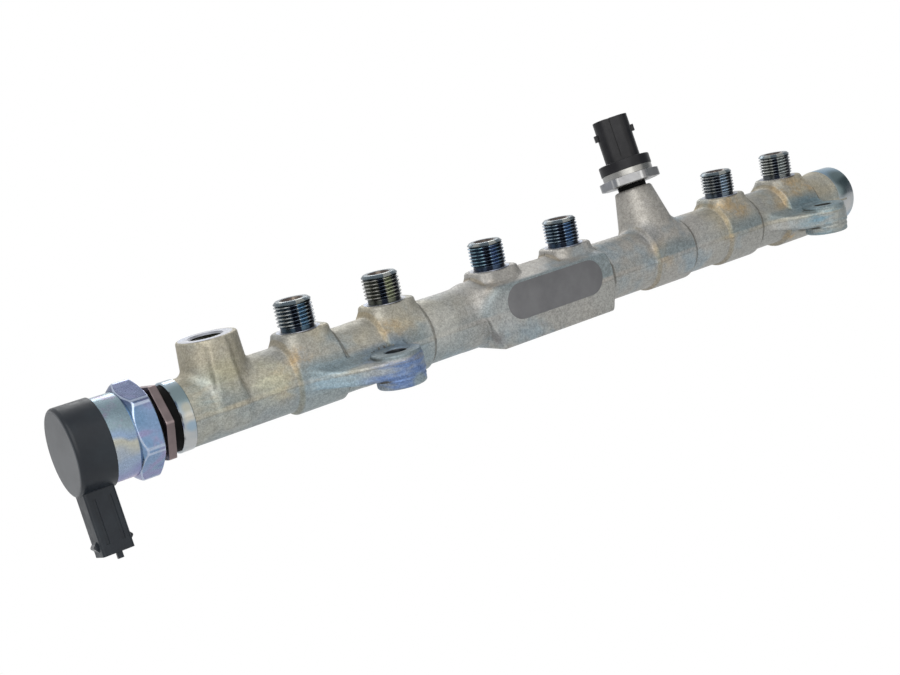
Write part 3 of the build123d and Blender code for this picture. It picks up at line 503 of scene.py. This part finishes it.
class Paint:
    """A procedural material, with short calls for its nodes."""

    def __init__(self, name, **sockets):
        self.material = bpy.data.materials.new(name)
        self.material.use_nodes = True
        self.tree = self.material.node_tree
        self.shader = self.tree.nodes["Principled BSDF"]
        self.place = self.node("ShaderNodeTexCoord").outputs["Object"]
        for key, value in sockets.items():
            self.set(self.shader, key.replace("_", " "), value)

    def node(self, kind, **props):
        n = self.tree.nodes.new(kind)
        for key, value in props.items():
            setattr(n, key, value)
        return n

    def set(self, node, socket, value):
        if isinstance(value, bpy.types.NodeSocket):
            self.tree.links.new(value, node.inputs[socket])
        else:
            node.inputs[socket].default_value = value

    def noise(self, scale, detail=3.0, rough=0.55, stretch=None, shift=0.0, warp=0.0):
        at = self.place
        if stretch or shift:
            m = self.node("ShaderNodeMapping")
            self.set(m, "Vector", at)
            m.inputs["Scale"].default_value = stretch or (1, 1, 1)
            m.inputs["Location"].default_value = (shift, shift * 0.7, shift * 1.3)
            at = m.outputs["Vector"]
        n = self.node("ShaderNodeTexNoise")
        for key, value in (("Vector", at), ("Scale", scale), ("Detail", detail), ("Roughness", rough),
                           ("Distortion", warp)):
            self.set(n, key, value)
        return n.outputs["Fac"]

    def ramp(self, value, *stops):
        n = self.node("ShaderNodeValToRGB")
        n.color_ramp.interpolation = "EASE"
        marks = n.color_ramp.elements
        while len(marks) < len(stops):
            marks.new(0.5)
        for mark, (where, colour) in zip(marks, stops):
            mark.position = where
            mark.color = tuple(colour) + (1,) if isinstance(colour, tuple) else (colour,) * 3 + (1,)
        self.set(n, "Fac", value)
        return n.outputs["Color"]

    def mix(self, factor, a, b, blend="MIX"):
        n = self.node("ShaderNodeMix", data_type="RGBA", blend_type=blend)
        self.set(n, 0, factor)
        for socket, value in ((6, a), (7, b)):
            self.set(n, socket, tuple(value) + (1,) if isinstance(value, tuple) else value)
        return n.outputs[2]

    def math(self, kind, a, b=0.0, c=0.0):
        n = self.node("ShaderNodeMath", operation=kind)
        for k, value in enumerate((a, b, c)):
            self.set(n, k, value)
        return n.outputs[0]

    def near(self, point, full, none):
        """1 within a distance of a point of the rail frame in millimetres, falling to 0 further out."""
        n = self.node("ShaderNodeVectorMath", operation="DISTANCE")
        self.set(n, 0, self.place)
        n.inputs[1].default_value = tuple((np.array(point, float) + AXIS) / 1000)
        r = self.node("ShaderNodeMapRange", interpolation_type="SMOOTHSTEP")
        for key, value in (("Value", n.outputs["Value"]), ("From Min", full / 1000), ("From Max", none / 1000),
                           ("To Min", 1.0), ("To Max", 0.0)):
            self.set(r, key, value)
        return r.outputs["Result"]

    def noted(self, name):
        return self.node("ShaderNodeAttribute", attribute_name=name).outputs["Fac"]

    def height(self, none, full, axis="Z"):
        """0 at one height or other place of the part frame in millimetres, rising to 1 at the second."""
        split = self.node("ShaderNodeSeparateXYZ")
        self.set(split, 0, self.place)
        r = self.node("ShaderNodeMapRange", interpolation_type="SMOOTHSTEP")
        for key, value in (("Value", split.outputs[axis]), ("From Min", none / 1000), ("From Max", full / 1000)):
            self.set(r, key, value)
        return r.outputs["Result"]

    def bump(self, *layers):
        normal = None
        for height, strength, distance in layers:
            n = self.node("ShaderNodeBump")
            self.set(n, "Height", height)
            self.set(n, "Strength", strength)
            self.set(n, "Distance", distance / 1000)
            if normal:
                self.set(n, "Normal", normal)
            normal = n.outputs["Normal"]
        self.set(self.shader, "Normal", normal)


def forged_paint():
    """Blasted, zinc-plated forging: grey with olive and pale blue clouds, orange by the outlets, blue lugs; painted
    shade in corners, beside steps and in two dark spots, and a painted highlight on ridges.
    """
    p = Paint("forged_zinc", Metallic=0.8)
    base = p.ramp(p.noise(24, 3, 0.6, shift=3.1), (0.30, (0.34, 0.345, 0.335)), (0.45, (0.40, 0.385, 0.335)),
                  (0.58, (0.44, 0.405, 0.32)), (0.72, (0.38, 0.375, 0.36)))
    grey = p.math("MULTIPLY", p.height(-95, -75, "X"), p.height(75, 55, "X"))
    base = p.mix(p.math("MULTIPLY", grey, 0.8), base, (0.405, 0.39, 0.37))
    # Bluish grey and a little darker below the parting line: partly the plating's tint, partly painted shade on the
    # underside.
    low = p.math("MULTIPLY", p.height(11.2, 9.8), p.ramp(p.noise(30, 3, 0.6, shift=9.4), (0.35, 0.45), (0.6, 0.95)))
    base = p.mix(low, base, p.mix(p.height(-110, -70, "X"), (0.32, 0.365, 0.375), (0.375, 0.375, 0.355)))
    blue = p.ramp(p.noise(38, 3, 0.6, shift=7.7), (0.52, 0.0), (0.70, 0.7))
    base = p.mix(blue, base, (0.29, 0.37, 0.42))
    warm = p.ramp(p.noise(110, 4, 0.7, shift=1.3), (0.40, 0.05), (0.60, 1.0))
    for place, far, amount in WARM:
        near = p.math("MULTIPLY", p.near(place, far * 0.2, far), amount)
        base = p.mix(p.math("MULTIPLY", near, warm), base, (0.48, 0.355, 0.20))
    streaks = p.ramp(p.noise(170, 4, 0.65, stretch=(0.3, 0.3, 1.3), shift=4.0), (0.36, 0.25), (0.62, 1.0))
    out = p.height(12.5, 9.5, "Y")
    for place, near, far, amount, colour in BLUE:
        spot = p.math("MULTIPLY", p.near(place, near, far), amount)
        if place[1] < -15:
            spot = p.math("MULTIPLY", spot, out)
        base = p.mix(p.math("MULTIPLY", spot, streaks), base, colour)
    line = p.math("MULTIPLY", p.height(10.1, 10.5), p.height(11.1, 10.7))
    base = p.mix(p.math("MULTIPLY", line, 0.30), base, (0.20, 0.20, 0.18))
    top = p.math("MULTIPLY", p.math("MULTIPLY", p.height(11.8, 13.2), out), 0.75)
    base = p.mix(top, base, (0.21, 0.265, 0.285))
    # Warm tint with painted shade along the rings' left steps.
    base = p.mix(p.ramp(p.noted("rise"), (0.1, 0.0), (0.9, 1.0)), base, (0.86, 0.80, 0.70), "MULTIPLY")
    # Spots of colour; the two darkest are painted shade, at the foot of the sensor boss's left side and at the
    # block's lower left end.
    for place, near, far, amount, colour in PATCHES:
        base = p.mix(p.math("MULTIPLY", p.near(place, near, far), amount), base, colour)
    # Painted shade in corners and creases and beside the steps, read from hollow.
    corner_shade = p.ramp(p.noted("hollow"), (0.06, 0.0), (0.34, 0.9))
    base = p.mix(corner_shade, base, (0.12, 0.115, 0.10))
    # Painted highlight: paler along sharp ridges.
    base = p.mix(p.ramp(p.noted("edge"), (0.2, 0.0), (0.6, 0.35)), base, (0.50, 0.50, 0.46))
    grain = p.noise(1500, 2, 0.6)
    base = p.mix(1.0, base, p.ramp(grain, (0.3, 0.80), (0.7, 1.14)), "MULTIPLY")
    base = p.mix(1.0, base, p.ramp(p.noise(560, 3, 0.65, shift=2.2), (0.3, 0.86), (0.7, 1.09)), "MULTIPLY")
    p.set(p.shader, "Base Color", base)
    p.set(p.shader, "Roughness", p.ramp(p.noise(300, 3, 0.6), (0.3, 0.50), (0.7, 0.64)))
    p.bump((p.noise(420, 3, 0.6), 0.30, 0.16), (grain, 0.40, 0.08))
    return p.material


def turned_paint(name, low, high, rough, stretch, tint=(0.35, 0.45, 0.65), amount=0.5, scale=60, painted_reflections=()):
    """Turned metal with fine tool lines, a breath of tint, spots of painted reflection where given, and paler edges
    as a painted highlight.
    """
    p = Paint(name, Metallic=1.0)
    lines = p.noise(700, 2, 0.5, stretch=stretch)
    colour = p.ramp(p.noise(scale, 3, 0.6, shift=2.0), (0.3, low), (0.7, high))
    colour = p.mix(p.ramp(p.noise(0.75 * scale, 2, 0.5, shift=5.0), (0.42, 0.0), (0.62, amount)), colour, tint)
    # Painted reflections: spots of other colours on the collar and band.
    for place, near, far, shade in painted_reflections:
        colour = p.mix(p.near(place, near, far), colour, shade)
    # Painted highlight: paler along the sharp edges of the hexagons.
    pale = tuple(min(1.0, 1.5 * c) for c in high)
    colour = p.mix(p.ramp(p.noted("edge"), (0.1, 0.0), (0.8, 0.7)), colour, pale)
    p.set(p.shader, "Base Color", colour)
    p.set(p.shader, "Roughness", p.ramp(lines, (0.3, rough * 0.85), (0.7, rough * 1.15)))
    p.bump((lines, 0.06, 0.02), (p.noise(240, 2, 0.5), 0.06, 0.06))
    return p.material


def valve_rainbow_and_reflection_paint():
    """Iridescent plating of the valve: blue to violet, pink and pale yellow in soft bands. The bands by height on the
    housing are partly painted reflection; the hexagon's upper flats carry painted shade, its edges a painted
    highlight.
    """
    p = Paint("valve_zinc", Metallic=0.95)
    split = p.node("ShaderNodeSeparateXYZ")
    p.set(split, 0, p.place)
    # The housing's colour bands follow the height: partly the plating's own rainbow, partly painted reflection.
    tilt = p.math("MULTIPLY_ADD", p.noise(45, 2, 0.5, shift=1.7, warp=0.4), 0.016, -0.008)
    rise = p.math("MULTIPLY_ADD", p.math("ADD", split.outputs["Z"], tilt), 29.0, 0.15)
    housing = p.ramp(rise, (0.02, (0.30, 0.17, 0.36)), (0.14, (0.25, 0.27, 0.47)), (0.32, (0.31, 0.39, 0.52)),
                     (0.47, (0.50, 0.50, 0.43)), (0.57, (0.28, 0.38, 0.54)), (0.72, (0.27, 0.36, 0.41)))
    bands = p.noise(60, 2, 0.5, stretch=(1.0, 0.8, 1.3), shift=2.4, warp=0.4)
    flats = p.ramp(bands, (0.32, (0.17, 0.28, 0.44)), (0.46, (0.21, 0.31, 0.48)), (0.55, (0.27, 0.28, 0.46)),
                   (0.64, (0.22, 0.31, 0.45)), (0.72, (0.19, 0.24, 0.42)))
    # Painted shade: the hexagon's upper flats darker.
    flats = p.mix(p.math("MULTIPLY", p.height(21.5, 26.5), 0.85), flats, (0.085, 0.105, 0.20))
    colour = p.mix(p.height(-243.4, -242.9, "X"), housing, flats)
    colour = p.mix(p.ramp(p.noise(90, 3, 0.6, shift=8.2), (0.55, 0.0), (0.68, 0.6)), colour, (0.36, 0.25, 0.40))
    # Painted highlight: paler along the hexagon's edges.
    colour = p.mix(p.ramp(p.noted("edge"), (0.05, 0.0), (0.7, 0.8)), colour, (0.48, 0.55, 0.68))
    grain = p.noise(1300, 2, 0.5)
    p.set(p.shader, "Base Color", p.mix(1.0, colour, p.ramp(grain, (0.3, 0.90), (0.7, 1.06)), "MULTIPLY"))
    p.set(p.shader, "Roughness", p.ramp(p.noise(160, 3, 0.6), (0.3, 0.20), (0.7, 0.32)))
    p.bump((p.noise(260, 3, 0.6), 0.10, 0.08))
    return p.material


def plastic_paint(name, dark, light, rough, gloss=0.5, face=None):
    """Moulded black plastic, with a soft gloss and a fine moulded skin; left of the face it is glossier and paler,
    the paler colour being painted light.
    """
    p = Paint(name, Specular_IOR_Level=gloss)
    skin = p.noise(1400, 2, 0.5)
    colour = p.ramp(p.noise(90, 3, 0.6), (0.3, dark), (0.7, light))
    sheen = p.ramp(p.noise(240, 3, 0.6), (0.3, rough * 0.85), (0.7, rough * 1.15))
    if face is not None:
        # Painted light: the face lit from the left is paler; its gloss is its own.
        front = p.height(face + 0.2, face, "X")
        lit_face_colour = p.ramp(p.noise(60, 4, 0.65, shift=5.5), (0.35, (0.022, 0.026, 0.032)), (0.65, (0.05, 0.056, 0.064)))
        colour = p.mix(front, colour, lit_face_colour)
        sheen = p.mix(front, sheen, (0.27, 0.27, 0.27))
        p.set(p.shader, "Specular IOR Level", p.math("MULTIPLY_ADD", front, 0.5 - gloss, gloss))
    p.set(p.shader, "Base Color", colour)
    p.set(p.shader, "Roughness", sheen)
    p.bump((skin, 0.20, 0.03))
    return p.material


def thread_paint(name, dim, middle, bright):
    """Dark steel of an outlet stub, with painted reflections: upright stripes in a dark colour and three of its own,
    following the glint round it, lighter crests and black roots as painted highlight and shade, and a chamfered tip
    and a warm cone paler where the glint falls.
    """
    p = Paint(name, Metallic=1.0)
    patch = p.noise(300, 1, 0.5, stretch=(1.0, 1.0, 0.1), shift=6.0)
    glint = p.math("ADD", p.noted("painted_glint"), p.math("MULTIPLY_ADD", patch, 0.5, -0.25))
    dim, middle = tuple(1.6 * c for c in dim), tuple(1.4 * c for c in middle)
    crest = p.ramp(glint, (0.05, (0.05, 0.065, 0.09)), (0.28, dim), (0.50, middle), (0.85, bright))
    root = p.ramp(glint, (0.10, (0.012, 0.015, 0.024)), (0.85, tuple(0.32 * c for c in bright)))
    # Painted highlight on the crests, painted shade in the roots.
    colour = p.mix(p.ramp(p.noted("crest"), (0.12, 0.0), (0.60, 1.0)), root, crest)
    tip = p.mix(p.ramp(glint, (0.45, 0.0), (0.6, 1.0)), (0.12, 0.15, 0.17), (0.34, 0.35, 0.33))
    colour = p.mix(p.height(40.9, 41.5), colour, tip)
    colour = p.mix(p.noted("cone"), colour, p.mix(p.ramp(glint, (0.42, 0.0), (0.58, 1.0)), (0.12, 0.10, 0.09),
                                                  (0.50, 0.42, 0.34)))
    p.set(p.shader, "Base Color", colour)
    p.set(p.shader, "Roughness", p.ramp(p.noise(500, 2, 0.5), (0.3, 0.24), (0.7, 0.34)))
    p.bump((p.noise(500, 2, 0.5), 0.03, 0.02))
    return p.material


def label_paint():
    """Grey skin of the label's field."""
    p = Paint("label_grey", Metallic=0.35)
    skin = p.ramp(p.noise(70, 3, 0.6), (0.3, (0.125, 0.125, 0.13)), (0.7, (0.155, 0.155, 0.16)))
    p.set(p.shader, "Base Color", skin)
    p.set(p.shader, "Roughness", p.ramp(p.noise(500, 2, 0.6), (0.3, 0.42), (0.7, 0.55)))
    p.bump((p.noise(1600, 2, 0.6), 0.3, 0.04))
    return p.material


def dress(obj, material, node):
    """Gives a new piece its material, lets it ride on the rail and hides the CAD node that it stands for."""
    obj.data.materials.clear()
    obj.data.materials.append(material)
    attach(obj, "rail")
    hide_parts(node)


def build_forging():
    """The forging with its stubs, return port, turned ends, bolt holes and label field."""
    forged = forged_paint()
    # The collar and band carry spots of painted reflection.
    collar = turned_paint("collar_steel", (0.34, 0.39, 0.43), (0.52, 0.52, 0.51), 0.18, (2.6, 0.05, 0.05),
                          (0.26, 0.38, 0.48), 0.8, 60, TURNED_REFLECTIONS)
    # Painted shade: the return port's thread and the bolt holes' bores are dark.
    bore_shade = turned_paint("port_thread", (0.05, 0.05, 0.045), (0.15, 0.145, 0.12), 0.34, (1, 1, 1), amount=0.2)
    faced = turned_paint("faced_steel", (0.28, 0.295, 0.34), (0.37, 0.375, 0.40), 0.40, (1, 1, 1), amount=0.3)

    def add(obj, material):
        dress(obj, material, "rail_body")

    verts, quads, normals, hollow, edge, rise = forging(STEP)
    on_right = verts[quads].mean(1)[:, 0] > SPLIT_X
    for k, part in enumerate((quads[~on_right], quads[on_right]), 1):
        used, back = np.unique(part, return_inverse=True)
        obj = mesh_object(f"forging_{k}", verts[used], back.reshape(part.shape), normals[used])
        for name, values in (("hollow", hollow), ("edge", edge), ("rise", rise)):
            note(obj, name, values[used])
        add(obj, forged)

    seat = [(18.1, 9.3), (18.29, 9.2), (18.3, 7.4), (17.9, 7.1)]
    for k, (at, glint_colours) in enumerate(zip(OUTLETS, STUB_GLINT_COLOURS), 1):
        add(stub(f"outlet_stub_{k}", at), thread_paint(f"stub_steel_{k}", *glint_colours))
        add(lathe(f"stub_seat_{k}", seat, 2, (at, 0, 0)), faced)
    add(return_thread(), bore_shade)
    face = [(26.5, 11.05), (26.62, 10.85), (26.62, 7.35), (25.8, 6.6)]
    add(lathe("return_port_face", face, 2, (PORT_X, 0, 0)), faced)

    left = [(-224.3, 11.3), (-224.3, 13.8), (-223.8, 14.3), (-219.1, 14.3), (-218.4, 13.6)]
    right = [(158.5, 14.4), (159.8, 15.1), (171.3, 15.1), (172.3, 14.1), (172.3, 2.5), (167.8, 0.05)]
    for name, profile in (("left_collar", left), ("right_band", right)):
        add(lathe(name, profile, 0, (0, 0, 0), 160), collar)

    # The bores of the bolt holes are painted dark for the shade in them.
    bolt_hole = (("bore", [(1.9, 4.8), (1.7, 4.6), (-11.97, 4.6)], bore_shade),
                 ("liner", [(2.28, 9.3), (2.33, 9.2), (2.33, 5.3), (1.9, 4.8)], forged),
                 ("foot", [(-11.97, 4.6), (-12.0, 9.2)], forged))
    for k, (at, _, _) in enumerate(LUGS, 1):
        for name, profile, material in bolt_hole:
            add(lathe(f"lug_{name}_{k}", profile, 2, (at, LUG_Y, 0)), material)
    add(stadium("label_field", -67.6, -12.0, -5.3, 11.0, -BLOCK_FRONT, 0.12), label_paint())


def build_valve():
    """Turned housing and hexagon of the valve, and its lock nut."""
    rainbow_and_reflections = valve_rainbow_and_reflection_paint()
    brown = turned_paint("brown_nut", (0.16, 0.13, 0.13), (0.25, 0.20, 0.20), 0.38, (1, 1, 1),
                         (0.27, 0.16, 0.21), 0.7)
    shape = [(-255.0, 1.3), (-255.0, 6.0), (-242.1, 6.0), (-242.1, 13.9), (-262.5, 13.9), (-262.5, 15.05),
             (-252.5, 15.05), (-252.5, 16.2), (-252.15, 16.6), (-243.0, 16.6), (-234.0, 15.6), (-233.6, 13.2),
             (-233.6, 10.95), (-211.5, 10.95), (-211.5, 9.2), (-209.9, 9.2), (-209.9, 7.7), (-207.5, 7.7),
             (-207.5, 9.2), (-197.5, 9.2), (-197.0, 8.7), (-197.0, 4.0), (-204.0, 4.0), (-204.0, 3.0),
             (-208.0, 3.0), (-208.0, 1.3), (-255.0, 1.3)]
    turned = lathe("valve_housing", shape, 0, (0, 0, 0), 144)
    big = hexagon("valve_hexagon", -243.0, 9.4, 34.4, 19.3, 17.5, 41.0, 20.0, (16.4, 14.0))
    nut = hexagon("nut_hexagon", -231.5, 3.7, 29.0, 16.74, 53.0, 6.0, 6.0, (11.0, 11.0))
    for obj in (turned, big):
        dress(obj, rainbow_and_reflections, "valve_body")
    dress(nut, brown, "lock_nut")


def build_sensor():
    """Shank and hexagon of the sensor."""
    silver = turned_paint("sensor_steel", (0.26, 0.26, 0.265), (0.35, 0.35, 0.345), 0.36, (1, 1, 1), amount=0.1)
    shape = [(12.43, 1.25), (12.43, 3.3), (17.0, 5.95), (36.1, 5.95), (37.0, 11.4), (40.6, 11.4), (40.6, 1.25),
             (12.43, 1.25)]
    stem = lathe("sensor_shank", shape, 0, (0, 0, 0), 96, place=on_sensor_axis)
    nut = hexagon("sensor_hexagon", 36.1, 4.5, 27.0, 14.8, 49.6, 10.0, 10.0, (5.9, 11.2), on_sensor_axis)
    for obj in (stem, nut):
        dress(obj, silver, "sensor_body")


def dress_nodes(nodes):
    """Materials of the CAD nodes that stay, and softened edges on the moulded ones and the sleeve."""
    black = plastic_paint("cap_plastic", (0.008, 0.011, 0.016), (0.013, 0.018, 0.024), 0.40, 0.36, -266.6)
    jet = plastic_paint("sensor_plastic", (0.005, 0.005, 0.007), (0.011, 0.011, 0.013), 0.36, 0.28)
    rubber = plastic_paint("black_rubber", (0.002, 0.002, 0.002), (0.004, 0.004, 0.004), 0.7, 0.1)
    sleeve = turned_paint("sleeve_steel", (0.32, 0.315, 0.30), (0.46, 0.45, 0.42), 0.28, (1, 1, 2.4), amount=0.1)
    inner = turned_paint("hard_steel", (0.45, 0.45, 0.46), (0.58, 0.58, 0.58), 0.3, (1, 1, 1), amount=0.0)
    copper = turned_paint("copper_wire", (0.48, 0.20, 0.10), (0.62, 0.30, 0.17), 0.35, (6, 0.3, 0.3), amount=0.0)
    spool = plastic_paint("bobbin_plastic", (0.45, 0.40, 0.30), (0.55, 0.50, 0.38), 0.5)
    board = plastic_paint("board_green", (0.01, 0.09, 0.03), (0.02, 0.13, 0.05), 0.4)
    tin = turned_paint("tinned_blade", (0.55, 0.54, 0.50), (0.70, 0.69, 0.65), 0.28, (1, 1, 1), amount=0.0)
    looks = {"valve_cap": black, "sensor_sleeve": sleeve, "sensor_connector": jet, "coil_bobbin": spool,
             "coil_winding": copper, "sensor_board": board}
    looks.update(dict.fromkeys(("valve_seal_inner", "valve_seal_outer", "shank_o_ring", "sensor_seal"), rubber))
    for name, node in nodes.items():
        if name not in REDRAWN:
            for place in node.material_slots:
                place.material = tin if "terminal" in name else looks.get(name, inner)
    for name, width in (("valve_cap", 0.3), ("sensor_connector", 0.3), ("sensor_sleeve", 0.15)):
        edge = nodes[name].modifiers.new("soft_edges", "BEVEL")
        edge.width = width / 1000
        edge.segments = 2
        edge.limit_method = "ANGLE"
        edge.angle_limit = np.radians(35)
        edge.harden_normals = True


def press_spring(spring):
    """Gives the spring a mesh of its own."""
    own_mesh(spring)


def lamp(name, place, target, size, power):
    """Soft rectangular lamp that points at its target; places and sizes in metres."""
    data = bpy.data.lights.new(name, "AREA")
    data.shape = "RECTANGLE"
    data.size, data.size_y = size
    data.energy = power
    obj = bpy.data.objects.new(name, data)
    obj.location = place
    obj.rotation_euler = (Vector(target) - Vector(place)).to_track_quat("-Z", "Y").to_euler()
    bpy.context.scene.collection.objects.link(obj)


def make_camera():
    """Camera as fitted to the photograph."""
    data = bpy.data.cameras.new("camera")
    data.lens = 52.115
    data.sensor_width = 36.0
    data.clip_start, data.clip_end = 0.01, 20.0
    camera = bpy.data.objects.new("camera", data)
    right, up, ahead = (0.7996, -0.5653, -0.2028), (0.2761, 0.0461, 0.9600), (0.53335, 0.82360, -0.19292)
    turn = Matrix((right, up, tuple(-a for a in ahead))).transposed().to_quaternion()
    camera.rotation_mode = "QUATERNION"
    camera.rotation_quaternion = turn
    camera.location = (-0.39592, -0.44665, 0.11652)
    bpy.context.scene.collection.objects.link(camera)
    bpy.context.scene.camera = camera


def make_surround():
    """World that is white to the camera, and a soft room with a bright and a dark side to everything else."""
    world = bpy.data.worlds.new("surround")
    bpy.context.scene.world = world
    world.use_nodes = True
    tree = world.node_tree
    path = tree.nodes.new("ShaderNodeLightPath")
    place = tree.nodes.new("ShaderNodeTexCoord")

    def toward(direction, none, full):
        """1 inside a cone about a direction, falling to 0 outside it."""
        dot = tree.nodes.new("ShaderNodeVectorMath")
        dot.operation = "DOT_PRODUCT"
        tree.links.new(place.outputs["Generated"], dot.inputs[0])
        dot.inputs[1].default_value = Vector(direction).normalized()
        edge = tree.nodes.new("ShaderNodeMapRange")
        edge.interpolation_type = "SMOOTHSTEP"
        tree.links.new(dot.outputs["Value"], edge.inputs["Value"])
        edge.inputs["From Min"].default_value = none
        edge.inputs["From Max"].default_value = full
        return edge.outputs["Result"]

    def blend(factor, under, over):
        """Colour that goes from one to the other with the factor."""
        mix = tree.nodes.new("ShaderNodeMix")
        mix.data_type = "RGBA"
        for socket, value in ((0, factor), (6, under), (7, over)):
            if isinstance(value, bpy.types.NodeSocket):
                tree.links.new(value, mix.inputs[socket])
            else:
                mix.inputs[socket].default_value = value
        return mix.outputs[2]

    room = blend(toward((0.1, 1.0, 0.0), 0.1, 0.7), (0.58, 0.595, 0.61, 1), (0.85, 0.86, 0.87, 1))
    room = blend(toward((0.80, -0.55, 0.20), 0.80, 0.90), room, (0.13, 0.15, 0.17, 1))
    room = blend(toward((-0.35, -0.85, 0.25), 0.55, 0.66), room, (1.05, 1.04, 1.02, 1))
    gloss = tree.nodes.new("ShaderNodeMath")
    gloss.operation = "MAXIMUM"
    tree.links.new(path.outputs["Is Glossy Ray"], gloss.inputs[0])
    tree.links.new(path.outputs["Is Transmission Ray"], gloss.inputs[1])
    part = tree.nodes.new("ShaderNodeMath")
    part.operation = "MULTIPLY_ADD"
    tree.links.new(gloss.outputs[0], part.inputs[0])
    part.inputs[1].default_value = 0.1
    tree.links.new(path.outputs["Is Camera Ray"], part.inputs[2])
    back = tree.nodes["Background"]
    tree.links.new(blend(part.outputs[0], room, (1, 1, 1, 1)), back.inputs["Color"])
    back.inputs["Strength"].default_value = 1.0


def make_floor():
    """Pale floor that the camera sees as white."""
    half, drop = 4000, -0.16
    floor = mesh_object("floor", [(-half, -half, 0), (half, -half, 0), (half, half, 0), (-half, half, 0)],
                        [(0, 1, 2, 3)])
    floor.location.z = drop
    paint = bpy.data.materials.new("floor_white")
    paint.use_nodes = True
    tree = paint.node_tree
    shader = tree.nodes["Principled BSDF"]
    shader.inputs["Base Color"].default_value = (0.8, 0.8, 0.8, 1)
    shader.inputs["Roughness"].default_value = 0.9
    path = tree.nodes.new("ShaderNodeLightPath")
    glow = tree.nodes.new("ShaderNodeEmission")
    glow.inputs["Color"].default_value = (1, 1, 1, 1)
    both = tree.nodes.new("ShaderNodeMixShader")
    tree.links.new(path.outputs["Is Camera Ray"], both.inputs[0])
    tree.links.new(shader.outputs[0], both.inputs[1])
    tree.links.new(glow.outputs[0], both.inputs[2])
    tree.links.new(both.outputs[0], tree.nodes["Material Output"].inputs["Surface"])
    floor.data.materials.append(paint)


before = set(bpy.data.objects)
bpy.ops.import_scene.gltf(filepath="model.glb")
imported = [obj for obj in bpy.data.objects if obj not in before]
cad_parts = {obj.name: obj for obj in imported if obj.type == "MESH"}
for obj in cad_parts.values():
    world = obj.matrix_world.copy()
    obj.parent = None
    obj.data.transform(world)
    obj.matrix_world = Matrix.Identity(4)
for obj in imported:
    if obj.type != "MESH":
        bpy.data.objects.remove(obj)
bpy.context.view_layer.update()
build_forging()
build_valve()
build_sensor()
dress_nodes(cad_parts)
press_spring(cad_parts["valve_spring"])
make_camera()
lamp("key", (-0.75, -0.85, 0.95), (-0.02, 0.02, 0.0), (1.6, 1.6), 11.0)
lamp("back", (0.25, 0.65, 0.45), (0.02, 0.02, 0.0), (0.6, 0.2), 1.5)
make_surround()
make_floor()
bpy.context.scene.view_settings.view_transform = "Standard"
